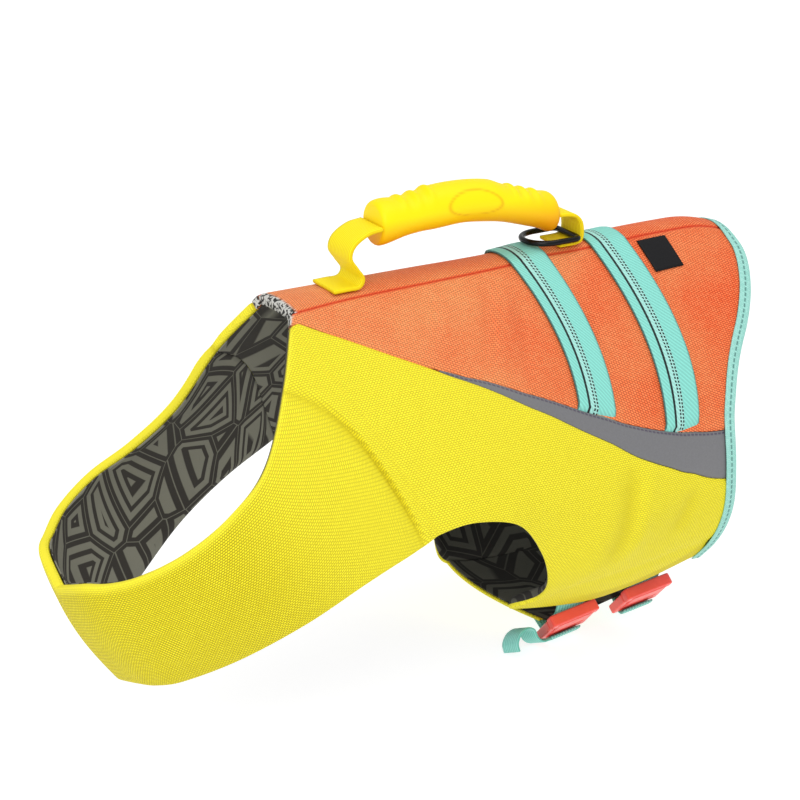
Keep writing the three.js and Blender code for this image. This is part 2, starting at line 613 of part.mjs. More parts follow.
for (const { word, corner, rise } of BUCKLES) {
  const slope = THREE.MathUtils.degToRad(rise);
  const alongX = v3(Math.cos(slope), 0, Math.sin(slope));
  const out = v3(0.1, -0.7, -0.71).cross(alongX).cross(alongX).negate().normalize();
  const up = out.clone().cross(alongX).normalize();
  if (up.z < 0) up.negate();
  const place = new THREE.Matrix4().makeBasis(alongX, up, alongX.clone().cross(up)).setPosition(corner);
  const { width, length, thick, arm, slot, bar } = BUCKLE;
  const split = 15;
  const window = split + 10;
  const outer = width - arm;
  const prong = new THREE.Shape();
  prong.moveTo(2, 0).lineTo(width - 2, 0).quadraticCurveTo(width, 0, width, 2);
  prong.lineTo(width, window - 1.5).quadraticCurveTo(width, window, width - 1.5, window);
  prong.lineTo(outer + 1, window).quadraticCurveTo(outer, window, outer, window - 1);
  prong.lineTo(outer, split).lineTo(arm, split);
  prong.lineTo(arm, window - 1).quadraticCurveTo(arm, window, arm - 1, window);
  prong.lineTo(1.5, window).quadraticCurveTo(0, window, 0, window - 1.5);
  prong.lineTo(0, 2).quadraticCurveTo(0, 0, 2, 0);
  for (const v of [bar, 2 * bar + slot]) {
    prong.holes.push(rectangle(new THREE.Path(), 5, v, width - 5, v + slot, 0.8));
  }
  add(`buckle_prong_${word}`, plate(prong, thick - 1.6, 0.7).applyMatrix4(place), coralResin);
  const inset = arm + 0.4;
  const foot = split + 0.4;
  const step = window + 0.4;
  const socket = new THREE.Shape();
  socket.moveTo(inset, foot).lineTo(width - inset, foot).lineTo(width - inset, step);
  socket.lineTo(width, step).lineTo(width, length - 2);
  socket.quadraticCurveTo(width, length, width - 2, length);
  socket.lineTo(2, length).quadraticCurveTo(0, length, 0, length - 2);
  socket.lineTo(0, step).lineTo(inset, step);
  const eye = length - bar;
  socket.holes.push(rectangle(new THREE.Path(), 5, eye - slot + 1, width - 5, eye + 0.6, 0.8));
  add(`buckle_socket_${word}`, plate(socket, thick, 0.7).applyMatrix4(place), coralResin);

  // Lower webbing: flat under the belly panel, then round the foot of the buckle
  const centre = corner.clone().addScaledVector(alongX, width / 2);
  const local = (v, n) => centre.clone().addScaledVector(up, v).addScaledVector(out, n).toArray();
  const below = SEAM + 1.4 + WEBBING / 2;
  const under = (b) => {
    const a = spread(0, 1, 100).find((q) => bellyPoint(q, b).x >= centre.x);
    return bellyAt(a, b, below).setX(centre.x).toArray();
  };
  const lower = [
    under(0.45), under(0.65), under(0.85), under(0.97),
    local(-1.8, -2.5), local(-2.2, 1.5), local(1, 5.2), local(6, 5.2),
  ];
  add(`belly_webbing_${word}`, webbingStrip(lower, WEBBING_WIDTH, WEBBING, alongX), aquaWebbing);

  // Upper webbing: from the inside of the left rim down to the socket's inner face
  const inside = (t, depth) => {
    const s = sectionAtX(centre.x, (q) => side(q, t));
    return side(s, t).addScaledVector(sideNormal(s, t), -depth).multiply(v3(1, -1, 1)).toArray();
  };
  const rest = WALL + SEAM + WEBBING / 2 + 4.2;
  const upper = [
    inside(0.9, rest), inside(0.94, rest), inside(0.985, rest),
    local(length - 3, -5.6), local(length - 13, -5.6),
  ];
  add(`rim_webbing_${word}`, webbingStrip(upper, WEBBING_WIDTH, WEBBING, alongX), aquaWebbing);
}

// Loose end of the front belly strap, curled over ahead of the front buckle
{
  const curl = [
    [77.6, -31, -264.8], [71.5, -31, -265], [66.5, -31, -261], [63, -31.5, -254],
    [57.5, -32, -251.5], [52, -32, -254.5], [49.5, -32, -261], [51, -32, -267.5],
  ];
  const across = v3(0, 0.9, -0.43).normalize();
  add("webbing_tail", webbingStrip(curl, WEBBING_WIDTH - 3, WEBBING, across), aquaWebbing);
}

export default jacket;
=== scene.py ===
# Life jacket for a dog, as it looks when it is filled out and buckled, with nobody in it.
# The head end is -X, the tail end +X, the dog's left side -Y, and the origin is on the lining,
# in the middle of the back. Shapes are worked out in millimetres and become metres at the end.
import math
import bmesh
import bpy
import numpy as np
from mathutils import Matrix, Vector


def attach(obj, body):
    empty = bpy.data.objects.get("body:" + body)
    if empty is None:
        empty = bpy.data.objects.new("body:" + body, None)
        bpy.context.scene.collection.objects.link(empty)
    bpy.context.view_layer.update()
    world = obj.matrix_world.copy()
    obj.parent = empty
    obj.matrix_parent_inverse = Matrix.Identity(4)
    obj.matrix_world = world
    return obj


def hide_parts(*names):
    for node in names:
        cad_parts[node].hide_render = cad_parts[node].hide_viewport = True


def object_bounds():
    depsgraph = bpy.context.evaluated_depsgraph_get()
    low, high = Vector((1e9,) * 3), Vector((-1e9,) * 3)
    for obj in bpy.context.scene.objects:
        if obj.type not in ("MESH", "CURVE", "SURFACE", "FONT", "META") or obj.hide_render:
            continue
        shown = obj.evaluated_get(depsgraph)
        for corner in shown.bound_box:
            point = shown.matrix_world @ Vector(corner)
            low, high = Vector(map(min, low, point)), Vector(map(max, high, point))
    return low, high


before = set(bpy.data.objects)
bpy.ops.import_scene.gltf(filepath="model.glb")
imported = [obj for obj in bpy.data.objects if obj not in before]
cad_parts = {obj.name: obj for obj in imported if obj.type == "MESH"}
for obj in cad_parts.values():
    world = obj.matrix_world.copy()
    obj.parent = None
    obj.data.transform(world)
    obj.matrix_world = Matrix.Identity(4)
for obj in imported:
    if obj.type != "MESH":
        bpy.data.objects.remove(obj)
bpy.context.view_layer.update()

# Chest band
# Two halves of a padded band that go from the crease at the shoulder round to the front centre.
# Each is a 7 mm foam sheet between two skins of coarse yellow nylon, turned in at its long edges,
# so that the edge is a smooth roll. The halves are sewn together at the front centre.
FOAM = 7
LINING_GAP = 0.6
LINING = 0.9
WALL = FOAM + LINING_GAP + LINING
SEAM = 0.3
CREASE = 7
CORNER = 8
LOBE = 14
HEM = 17
# The right side as sections from the front centre to the tail edge. top: neck edge, then the back
# seam. rim: band, armhole and bottom edge. bulge: how far the middle stands out, peak: where, and
# face: which way, in degrees from straight sideways towards the head.
SECTIONS = [
    {"top": (-269, 0, -157.5), "rim": (-229, 0, -231.5), "bulge": 5, "peak": 0.5, "face": 90},
    {"top": (-266, 32, -144.5), "rim": (-226, 24, -224.5), "bulge": 6, "peak": 0.5, "face": 75},
    {"top": (-255, 49.5, -139.5), "rim": (-220, 42, -219.5), "bulge": 7, "peak": 0.5, "face": 60},
    {"top": (-238, 66, -130.5), "rim": (-207, 56, -213.5), "bulge": 8, "peak": 0.5, "face": 42},
    {"top": (-212, 76, -116.5), "rim": (-177, 75.5, -197.5), "bulge": 9, "peak": 0.5, "face": 25},
    {"top": (-182, 74, -99.5), "rim": (-140, 93.5, -174.5), "bulge": 9, "peak": 0.5, "face": 12},
    {"top": (-155, 68, -75.5), "rim": (-101, 102.5, -151.5), "bulge": 8, "peak": 0.5, "face": 5},
    {"top": (-133, 51.5, -34.5), "rim": (-64, 107, -133.5), "bulge": 8, "peak": 0.5, "face": 0},
    {"top": (-111.5, 23, 3.9), "rim": (-52, 109, -126.5), "bulge": 10, "peak": 0.5, "face": 0},
    {"top": (-66, 18.8, 5.5), "rim": (-28, 113, -122.5), "bulge": 14, "peak": 0.5, "face": 0},
    {"top": (-11, 17.2, 6.3), "rim": (5, 112, -132.5), "bulge": 20, "peak": 0.52, "face": 0},
    {"top": (28.5, 15.6, 6.7), "rim": (27, 104, -160.5), "bulge": 33.3, "peak": 0.54, "face": -3},
    {"top": (52, 14.6, 7.3), "rim": (41, 90, -191.5), "bulge": 47.4, "peak": 0.593, "face": -15},
    {"top": (66, 14, 8.4), "rim": (46, 70, -211.5), "bulge": 66, "peak": 0.654, "face": -26},
    {"top": (79, 13.8, 9.4), "rim": (42, 43, -228.5), "bulge": 89.5, "peak": 0.659, "face": -33.5},
    {"top": (114.5, 13.4, 9.5), "rim": (100, 44, -236.5), "bulge": 77, "peak": 0.581, "face": -24.7},
    {"top": (166, 12.8, 11.4), "rim": (145, 48, -230.5), "bulge": 67.5, "peak": 0.559, "face": -12.6},
    {"top": (229, 12, 11.8), "rim": (180, 62, -213.5), "bulge": 56, "peak": 0.56, "face": 0},
]
# How far the tail edge leaves its straight section, by the share of the way down
HEM_SWEEP = [
    (0, 0), (0.03, 2), (0.07, 4), (0.13, 2.3), (0.18, -1.4), (0.24, -8.2), (0.29, -15), (0.345, -20.5),
    (0.41, -24), (0.5, -25.5), (0.65, -19), (0.82, -6), (0.93, 0), (1, 0),
]
HEM_DROOP = {"from": 16.5, "fall": 5.6, "reach": 0.12}  # the end of the back bends down
# How the two skins come together at an edge: rolled at the neck, thin at the armhole and at the
# bottom, where the foam runs out, and pulled in where panels are sewn together
EDGES = {
    "roll": {"reach": 3.4, "out": 2.4, "inn": 2.4},
    "taper": {"reach": 9, "out": 0.5, "inn": 4},
    "sewn": {"reach": 3.6, "out": 0.9, "inn": 0},
}


def through(rows):
    """Smooth curve through a table of x and y."""
    xs, ys = np.array(rows, float).T
    at_ends = np.r_[0, np.arange(len(xs) - 1)], np.r_[np.arange(1, len(xs)), len(xs) - 1]
    slopes = (ys[at_ends[1]] - ys[at_ends[0]]) / (xs[at_ends[1]] - xs[at_ends[0]])

    def at(x):
        i = np.clip(np.searchsorted(xs, x, "right") - 1, 0, len(xs) - 2)
        h = xs[i + 1] - xs[i]
        f = np.clip((x - xs[i]) / h, 0, 1)
        rise = ys[i + 1] - ys[i]
        a, b = slopes[i], slopes[i + 1]
        return ys[i] + f * (h * a + f * (3 * rise - h * (2 * a + b) + f * (h * (a + b) - 2 * rise)))

    return at


def spline(points):
    """Smooth curve through points; the place along it counts in points."""
    p = np.array(points, float)
    ends = np.vstack([2 * p[0] - p[1], p, 2 * p[-1] - p[-2]])

    def at(u):
        u = np.asarray(u, float)
        i = np.clip(np.floor(u).astype(int), 0, len(p) - 2)
        f = (u - i)[..., None]
        before, a, b, after = (ends[i + k] for k in range(4))
        leave, reach = (b - before) / 2, (after - a) / 2
        return a + f * (leave + f * (3 * (b - a) - 2 * leave - reach + f * (2 * (a - b) + leave + reach)))

    return at


neck_edge = spline([row["top"] for row in SECTIONS[: CORNER + 1]])
back_seam = spline([row["top"] for row in SECTIONS[CORNER:]])
rim_edge = spline([row["rim"] for row in SECTIONS])
fullness = spline([(row["bulge"], row["peak"] * 100, row["face"]) for row in SECTIONS])
hem_sweep = through(HEM_SWEEP)


def unit(vectors):
    return vectors / np.maximum(np.linalg.norm(vectors, axis=-1, keepdims=True), 1e-9)


def ease(x):
    x = np.clip(x, 0, 1)
    return x * x * (3 - 2 * x)


def top_at(s):
    s = np.asarray(s, float)
    neck, seam = neck_edge(np.clip(s, 0, CORNER)), back_seam(np.clip(s - CORNER, 0, HEM - CORNER))
    return np.where((s < CORNER)[..., None], neck, seam)


def droop(s):
    share = np.maximum(0, (s - HEM_DROOP["from"]) / (HEM - HEM_DROOP["from"]))
    return HEM_DROOP["fall"] * share**2


def bent(s, t):
    """Sections near the crease bow towards the tail, so that the fold runs in a curve."""
    bend = np.maximum(0, 1 - np.abs(s - CREASE) / np.where(s < CREASE, 1.5, 1))
    return s + 0.52 * bend * np.sin(np.pi * np.clip(t, 0, 1))


def form(u, t):
    """The bulging surface between the top line and the rim."""
    u, t = np.broadcast_arrays(np.asarray(u, float), np.asarray(t, float))
    bulge, peak, face = np.moveaxis(fullness(u), -1, 0)
    peak = peak / 100
    away = np.where(t < peak, 1 - t / peak, (t - peak) / (1 - peak))
    out = bulge * (1 - away**2)
    top = top_at(u)
    point = top + (rim_edge(u) - top) * t[..., None]
    point[..., 0] -= np.sin(np.radians(face)) * out
    point[..., 1] += np.cos(np.radians(face)) * out
    return point


def side(s, t):
    """Points on the outer face of the right side: s counts sections, t goes from top to rim."""
    s, t = np.broadcast_arrays(np.asarray(s, float), np.asarray(t, float))
    point = form(bent(s, t), t)
    point[..., 0] += hem_sweep(t) * ease((s - HEM + 2.4) / 2.4)
    point[..., 2] -= droop(s) * np.maximum(0, 1 - t / HEM_DROOP["reach"]) ** 1.5
    return point


def side_normal(s, t):
    along = side(np.minimum(s + 0.12, HEM), t) - side(np.maximum(s - 0.12, 0), t)
    down = side(s, np.minimum(t + 0.02, 1)) - side(s, np.maximum(t - 0.02, 0))
    normal = np.cross(along, down)
    normal[..., 1] = np.where(np.broadcast_to(s, normal.shape[:-1]) < 0.01, 0, normal[..., 1])
    return unit(normal)


def rows_between(s, t0, t1, count, sewn=(0, 0)):
    """Rows down each section between two edges, close together near them for the rolls and seams."""
    near = np.array([0, 0.25, 0.7, 1.3, 2.1, 3.1, 4.4])
    s, t0, t1 = np.broadcast_arrays(np.asarray(s, float), t0, t1)
    step = 0.004
    fast0 = np.linalg.norm(side(s, t0 + step) - side(s, t0), axis=-1) / step
    fast1 = np.linalg.norm(side(s, t1) - side(s, t1 - step), axis=-1) / step
    t0 = t0 + SEAM / 2 / fast0 * sewn[0]
    t1 = t1 - SEAM / 2 / fast1 * sewn[1]
    fit = np.minimum(1, (t1 - t0) / 3 / (near[-1] / np.minimum(fast0, fast1)))
    first = t0[:, None] + near / fast0[:, None] * fit[:, None]
    last = (t1[:, None] - near / fast1[:, None] * fit[:, None])[:, ::-1]
    shares = np.linspace(0, 1, count - 2 * len(near) + 2)[1:-1]
    middle = first[:, -1:] + (last[:, :1] - first[:, -1:]) * shares
    return np.hstack([first, middle, last])


def lengths(points, axis):
    """Distance run along a grid's columns (0) or rows (1) from its first line."""
    steps = np.linalg.norm(np.diff(points, axis=axis), axis=-1)
    start = np.zeros_like(steps.take([0], axis))
    return np.concatenate([start, np.cumsum(steps, axis=axis)], axis=axis)


def edge_in(distance, kind):
    """How far the outer and the inner skin come in at a distance from an edge."""
    edge = EDGES[kind]
    away = np.clip(1 - distance / edge["reach"], 0, 1)
    curve = 1 - np.sqrt(1 - away**2) if kind == "roll" else away**2
    rim = 0.9 * (1 - np.sqrt(1 - np.clip(1 - distance / 1.2, 0, 1) ** 2)) * (kind == "taper")
    return np.stack([edge["out"] * curve + rim, edge["inn"] * curve + rim])


def as_object(name, bm, material, smooth=True):
    """Turns a mesh worked out in millimetres into an object in metres, with its faces outwards."""
    bmesh.ops.recalc_face_normals(bm, faces=bm.faces)
    bmesh.ops.scale(bm, vec=(0.001, 0.001, 0.001), verts=bm.verts)
    for face in bm.faces:
        face.smooth = smooth
    mesh = bpy.data.meshes.new(name)
    bm.to_mesh(mesh)
    bm.free()
    mesh.materials.append(material)
    piece = bpy.data.objects.new(name, mesh)
    bpy.context.scene.collection.objects.link(piece)
    return piece


def cloth(name, outer, inner, along, down, material, **marks):
    """Closed cloth between two grids of points; its UV map holds real lengths, in metres."""
    columns, rows = outer.shape[:2]
    bm = bmesh.new()
    bmesh.ops.create_grid(bm, x_segments=columns - 1, y_segments=rows - 1, size=1)
    made = bmesh.ops.extrude_face_region(bm, geom=bm.faces[:])
    second = [part for part in made["geom"] if isinstance(part, bmesh.types.BMVert)]
    bmesh.ops.translate(bm, vec=(0, 0, 1), verts=second)
    spots = np.array([vert.co[:] for vert in bm.verts])
    i = np.rint((spots[:, 0] + 1) / 2 * (columns - 1)).astype(int)
    j = np.rint((spots[:, 1] + 1) / 2 * (rows - 1)).astype(int)
    skin = np.rint(spots[:, 2]).astype(int)
    for vert, point in zip(bm.verts, np.stack([outer, inner])[skin, i, j]):
        vert.co = point
    piece = as_object(name, bm, material)
    mesh = piece.data
    corners = np.zeros(len(mesh.loops), np.int32)
    mesh.loops.foreach_get("vertex_index", corners)
    flat = np.stack(np.broadcast_arrays(along, down), axis=-1)[i, j] * 0.001
    mesh.uv_layers.new(name="cloth").data.foreach_set("uv", flat[corners].ravel())
    for mark, values in marks.items():
        layer = mesh.attributes.new(mark, "FLOAT", "POINT")
        layer.data.foreach_set("value", np.broadcast_to(values, outer.shape[:2])[i, j])
    return piece


def linear(code):
    """A colour's sRGB hex value as the linear numbers that a shader takes."""
    parts = [int(code[k : k + 2], 16) / 255 for k in (0, 2, 4)]
    return (*[c / 12.92 if c <= 0.04045 else ((c + 0.055) / 1.055) ** 2.4 for c in parts], 1)


def node(tree, kind, settings, inputs):
    """Adds a shader node with its settings, and sets or links its inputs."""
    made = tree.nodes.new("ShaderNode" + kind)
    for name, value in settings.items():
        setattr(made, name, value)
    for name, value in inputs.items():
        if isinstance(value, bpy.types.Node):
            value = value.outputs[0]
        if isinstance(value, bpy.types.NodeSocket):
            tree.links.new(value, made.inputs[name])
        else:
            made.inputs[name].default_value = value
    return made


def mixed(tree, share, first, second, **settings):
    """Mixes two colours. A share that is a name is read from the cloth's marks."""
    if isinstance(share, str):
        share = node(tree, "Attribute", {"attribute_name": share}, {}).outputs["Fac"]
    first, second = (linear(code) if isinstance(code, str) else code for code in (first, second))
    return node(tree, "MixRGB", settings, {"Fac": share, "Color1": first, "Color2": second})


def bricks(tree, at, colours, gap, smooth, wide, tall, offset=0.0):
    """Rows of yarns or stitches, sized in millimetres of the cloth, with gaps between them."""
    one, other, between = (linear(code) for code in colours)
    return node(tree, "TexBrick", {"offset": offset}, {
        "Vector": at, "Scale": 1000, "Color1": one, "Color2": other, "Mortar": between,
        "Mortar Size": gap, "Mortar Smooth": smooth, "Brick Width": wide, "Row Height": tall,
    })


def bump(tree, shader, height, strength, distance, invert=False):
    """Relief on the surface, in metres, from a pattern's height."""
    sizes = {"Strength": strength, "Distance": distance, "Height": height}
    relief = node(tree, "Bump", {"invert": invert}, sizes)
    tree.links.new(relief.outputs[0], shader.inputs["Normal"])


def finish(tree, shader, colour, roughness, shine=0.5):
    """Gives the shader its colour, roughness and shine."""
    tree.links.new(colour.outputs[0], shader.inputs["Base Color"])
    shader.inputs["Roughness"].default_value = roughness
    shader.inputs["Specular IOR Level"].default_value = shine


def new_material(name):
    """An empty material's tree, with its shader, and its coordinates."""
    material = bpy.data.materials.new(name)
    material.use_nodes = True
    tree = material.node_tree
    return material, tree, tree.nodes["Principled BSDF"], node(tree, "TexCoord", {}, {})


# Coarse basket-weave nylon: flat yarns 2.1 mm long in rows 1.4 mm apart, pale on top where they
# catch the light and olive in the hollows between them. A painted highlight makes it paler along
# the rolled neck edge and the thin bottom rim, and it is paler all over the lower sides and on the
# band towards the crease; painted shade makes it darker in the crease, in the soft folds and near
# the bottom rim towards the tail. Near the crease the dark lining shows along the neck edge.
yellow_nylon, tree, shader, place = new_material("basket_weave_nylon_yellow")
yarns = bricks(
    tree, place.outputs["UV"], ("F6EA22", "EBDD1A", "A39107"),
    gap=0.36, smooth=0.75, wide=2.1, tall=1.4, offset=0.5,
)
cloudy = node(tree, "TexNoise", {}, {"Vector": place.outputs["Object"], "Scale": 22, "Detail": 3})
shade = node(tree, "MapRange", {}, {"Value": cloudy, "From Min": 0.35, "From Max": 0.7, "To Max": 0.24})
toned = mixed(tree, shade, yarns, "C9B80E")
# The pale mark adds a painted highlight, and the mark after it adds painted shade
paler = mixed(tree, "pale", toned, "FBEF3A")
with_painted_shade = mixed(tree, "painted_shade", paler, "CDBD18")
edged = mixed(tree, "edging", with_painted_shade, "3A3833")
bump(tree, shader, yarns.outputs["Fac"], strength=0.7, distance=0.0003, invert=True)
finish(tree, shader, edged, roughness=0.68, shine=0.25)

SIDES = (("left", np.array([1, -1, 1])), ("right", np.array([1, 1, 1])))
near_end = np.array([0, 0.008, 0.02, 0.04, 0.07])
band_s = np.r_[near_end, np.linspace(0.1, CREASE - 0.1, 118), CREASE - near_end[::-1]]


def pulled_in(s, ends):
    """Sections with the first and last moved in by half a seam."""
    first, last = ends
    steps = ((s[0], -0.02), (s[-1], 0.02))
    speed = [np.linalg.norm(side(at, 0.5) - side(at - by, 0.5)) / 0.02 for at, by in steps]
    moved = s.copy()
    moved[0] += SEAM / 2 / speed[0] * first
    moved[-1] -= SEAM / 2 / speed[1] * last
    return moved


def crease_depth(s, t):
    """The wall folds at the crease between band and body, and pinches at the front centre."""
    fold = 4 * np.exp(-(((s - CREASE) / 0.12) ** 2)) - 2 * np.exp(-(((s - CREASE + 0.34) / 0.17) ** 2))
    centre = np.exp(-((s / 0.1) ** 2)) * 1.6
    return (fold + centre) * np.sin(np.pi * np.clip(t, 0, 1)) ** 0.4


def troughs(points, rows):
    """Depth of soft troughs, or ridges where it is below 0, that run between two places."""
    depth = np.zeros(points.shape[:-1])
    for row in rows:
        start, end = (np.array(row[key], float) for key in ("from", "to"))
        run = (end - start) / np.linalg.norm(end - start)
        flat = points[..., [0, 2]] - start
        share = flat @ run / np.linalg.norm(end - start)
        across = flat[..., 0] * run[1] - flat[..., 1] * run[0]
        fade = ease((share + 0.2) / 0.4) * ease((1.2 - share) / 0.4)
        depth += row["deep"] * np.exp(-((across / row["wide"]) ** 2)) * fade
    return depth


def padded_faces(s, t, top_in, folds=()):
    """Outer and inner face of a padded wall whose lower edge runs thin, with its two distances."""
    full = side(s[:, None], t)
    normal = side_normal(s[:, None], t)
    down = lengths(full, 1)
    from_bottom = down[:, -1:] - down
    out, inn = np.maximum(top_in(down), edge_in(from_bottom, "taper"))
    fold = crease_depth(s[:, None], t) + troughs(full, folds)
    outer = full - normal * (out + fold)[..., None]
    inner = full - normal * (FOAM - inn)[..., None]
    return outer, inner, down, from_bottom


rows = rows_between(band_s, np.zeros_like(band_s), np.ones_like(band_s), 60)
faces = padded_faces(pulled_in(band_s, (0.5, 0)), rows, lambda down: edge_in(down, "roll"))
outer, inner, down, from_bottom = faces
# Painted highlight along the rolled neck edge and the thin bottom rim; paler also towards the crease
pale = np.maximum(0.75 * ease(1 - down / 7), 0.6 * ease(1 - from_bottom / 1.6))
pale = np.maximum(pale, 0.36 * ease((band_s[:, None] - 4.5) / 2))
# The cloth's weave runs along the band, square to its sections, also where the crease bows
places = np.linspace(0, CREASE + 1, 150)
run = lengths(form(places, 0.5)[:, None], 0)[:, 0]
tall = lengths(form(places[:, None], np.linspace(0, 1, 30)), 1)[:, -1]
straight = bent(band_s[:, None], rows)
along = np.interp(straight, places, run)
across = rows * np.interp(straight, places, tall)
edging = ease(1 - down / 1.4) * ease((band_s[:, None] - 5.2) / 0.8)
# Painted shade along the crease
crease_shade = 0.6 * np.exp(-(((band_s[:, None] - CREASE) / 0.06) ** 2))
for word, mirror in SIDES:
    marks = {"pale": pale, "painted_shade": crease_shade, "edging": edging * (word == "left")}
    faces = outer * mirror, inner * mirror
    piece = cloth("chest_band_pad_" + word, *faces, along, across, yellow_nylon, **marks)
    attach(piece, "jacket")
    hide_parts("chest_band_" + word)

# Lower sides
# Padded yellow panels that go from the crease to the tail edge, below the reflective wedge. Their
# lower edge is the front of the armhole, the armhole and then the bottom edge.
YELLOW_TOP = [
    (7.81, 0), (8.18, 0.078), (8.51, 0.139), (8.85, 0.203), (9.4, 0.302), (9.72, 0.356),
    (10.18, 0.4), (10.81, 0.428), (11.59, 0.441), (12.51, 0.464), (13.59, 0.494), (14.52, 0.528),
    (15.05, 0.552), (15.93, 0.592), (17, 0.678),
]
SHOULDER = 7.83
yellow_line = through(YELLOW_TOP)


def yellow_top(s):
    return np.where(s < YELLOW_TOP[0][0], 0, yellow_line(s))


def girth(points):
    """Distance round the body from the grid's first corner, without the part along X."""
    flat = points * (0, 1, 1)
    top = np.diff(flat[:, 0], axis=0)
    start = np.r_[0, np.cumsum(np.linalg.norm(top, axis=-1) * -np.sign(top[:, 2]))]
    return start[:, None] + lengths(flat, 1)


body_s = np.r_[CREASE + near_end, np.linspace(CREASE + 0.1, HEM, 165)]
rows = rows_between(body_s, yellow_top(body_s), np.ones_like(body_s), 96, (body_s > SHOULDER, 0))
sewn = ease((body_s - SHOULDER + 0.03) / 0.06)[:, None]


def lower_side_top(down):
    return edge_in(down, "roll") * (1 - sewn) + edge_in(down, "sewn") * sewn


# Soft troughs as seen from the side, as X and Z: two upright ones near the tail, and the mark of
# the webbing that runs along inside the bottom edge
SIDE_FOLDS = (
    {"from": (98, -119), "to": (81, -177), "wide": 9, "deep": 2.2},
    {"from": (112, -119), "to": (97, -177), "wide": 8, "deep": -1.6},
    {"from": (150, -145), "to": (139, -171), "wide": 7, "deep": 1.4},
    {"from": (61, -204), "to": (197, -196), "wide": 5, "deep": 1.2},
)
faces = padded_faces(pulled_in(body_s, (0, 1)), rows, lower_side_top, SIDE_FOLDS)
outer, inner, down, from_bottom = faces
# Painted highlight along the rolled top edge and the thin bottom rim; the panel is paler all over
pale = np.maximum(0.75 * ease(1 - down / 7) * (1 - sewn), 0.6 * ease(1 - from_bottom / 1.6))
pale = np.maximum(pale, 0.36)
# Painted shade: darker near the bottom rim towards the tail, in the soft folds and along the crease
rim_shade = 0.75 * ease((26 - from_bottom) / 6) * ease((from_bottom - 1) / 2)
rim_shade = rim_shade * ease((body_s[:, None] - 14.3) / 0.7)
crease_shade = 0.5 * np.exp(-(((body_s[:, None] - CREASE) / 0.05) ** 2))
painted_shade = np.clip(rim_shade + 0.22 * troughs(outer, SIDE_FOLDS[:3]) + crease_shade, 0, 1)
edging = ease(1 - down / 1.4) * (1 - sewn)
for word, mirror in SIDES:
    marks = {"pale": pale, "painted_shade": painted_shade, "edging": edging * (word == "left")}
    faces = outer * mirror, inner * mirror
    piece = cloth("lower_side_pad_" + word, *faces, outer[..., 0], girth(outer), yellow_nylon, **marks)
    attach(piece, "jacket")
    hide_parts("lower_side_" + word)

# Reflective wedges
# One layer of grey reflective cloth a side, sewn between the orange and the yellow panel, that
# widens towards the tail. A line of dashed stitching runs along its upper edge.
REFLECTIVE = 1.2
GREY_TIP = 9.4
GREY_TOP = [
    (9.4, 0.302), (9.66, 0.332), (9.91, 0.357), (10.7, 0.38), (11.75, 0.386), (12.79, 0.402),
    (13.83, 0.417), (14.66, 0.437), (15.21, 0.451), (16.06, 0.477), (17, 0.525),
]
WEDGE_START = GREY_TIP + 0.15
grey_line = through(GREY_TOP)


def grey_top(s):
    return np.where(s < GREY_TIP, yellow_top(s), np.minimum(grey_line(s), yellow_top(s)))


# Retroreflective tape cloth: glass beads in a grey binder, even and slightly shiny
grey_cloth, tree, shader, place = new_material("retroreflective_cloth_grey")
grain = node(tree, "TexNoise", {}, {"Vector": place.outputs["Object"], "Scale": 900, "Detail": 2})
tone = mixed(tree, grain, "666668", "747477")
dash = bricks(
    tree, place.outputs["UV"], ("FFFFFF", "FFFFFF", "000000"),
    gap=0.5, smooth=0.1, wide=3.2, tall=60,
)
stitch_mark = node(tree, "Attribute", {"attribute_name": "stitch"}, {})
line = node(tree, "Math", {"operation": "MULTIPLY"}, {0: stitch_mark.outputs["Fac"], 1: dash})
stitched = mixed(tree, line, tone, "453D50")
finish(tree, shader, stitched, roughness=0.45, shine=0.4)

wedge_s = pulled_in(np.linspace(WEDGE_START, HEM, 150), (0, 1))
shares = np.r_[np.linspace(0, 0.15, 13), np.linspace(0.2, 1, 17)]
top, bottom = grey_top(wedge_s)[:, None] + 0.001, yellow_top(wedge_s)[:, None] - 0.001
t = top + (bottom - top) * shares
full = side(wedge_s[:, None], t)
normal = side_normal(wedge_s[:, None], t)
down = lengths(full, 1)
width = down[:, -1:]
sunk = 0.5 + np.maximum(edge_in(down, "sewn")[0], edge_in(width - down, "sewn")[0]) / 2
stitch = ease(1 - np.abs(down - 1.6) / 1.1)
outer = full - normal * sunk[..., None]
inner = outer - normal * REFLECTIVE
run = lengths(outer, 0)[:, :1]
for word, mirror in SIDES:
    faces = outer * mirror, inner * mirror
    piece = cloth("reflective_cloth_" + word, *faces, run, down, grey_cloth, stitch=stitch)
    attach(piece, "jacket")
    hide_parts("reflective_wedge_" + word)

# Upper sides
# Padded panels of orange oxford nylon from the back seam down to the wedge, with a sharp tip at
# the shoulder. Sewn all round.
# Oxford nylon: a fine two-by-one weave whose yarns show as slanting ribs 1.3 mm apart, paler
# towards the head and in random patches, with a darker red band along the sunken seams of the back
# strip. At the neck the speckled edge of the lining is turned over onto it.
orange_nylon, tree, shader, place = new_material("oxford_nylon_orange")
turned = node(tree, "Mapping", {}, {"Vector": place.outputs["UV"], "Rotation": (0, 0, math.radians(-32))})
ribs = bricks(
    tree, turned, ("FB7C48", "F26A36", "A82E0A"),
    gap=0.36, smooth=0.85, wide=2.4, tall=1.5, offset=0.5,
)
spot = node(tree, "SeparateXYZ", {}, {"Vector": place.outputs["Object"]})
ahead = node(tree, "MapRange", {}, {
    "Value": spot.outputs["X"], "From Min": 0.2, "From Max": -0.08, "To Max": 0.5,
})
cloudy = node(tree, "TexNoise", {}, {"Vector": place.outputs["Object"], "Scale": 16, "Detail": 4})
patchy = node(tree, "MapRange", {}, {
    "Value": cloudy, "From Min": 0.35, "From Max": 0.75, "To Min": -0.1, "To Max": 0.35,
})
pale = node(tree, "Math", {"operation": "ADD", "use_clamp": True}, {0: ahead, 1: patchy})
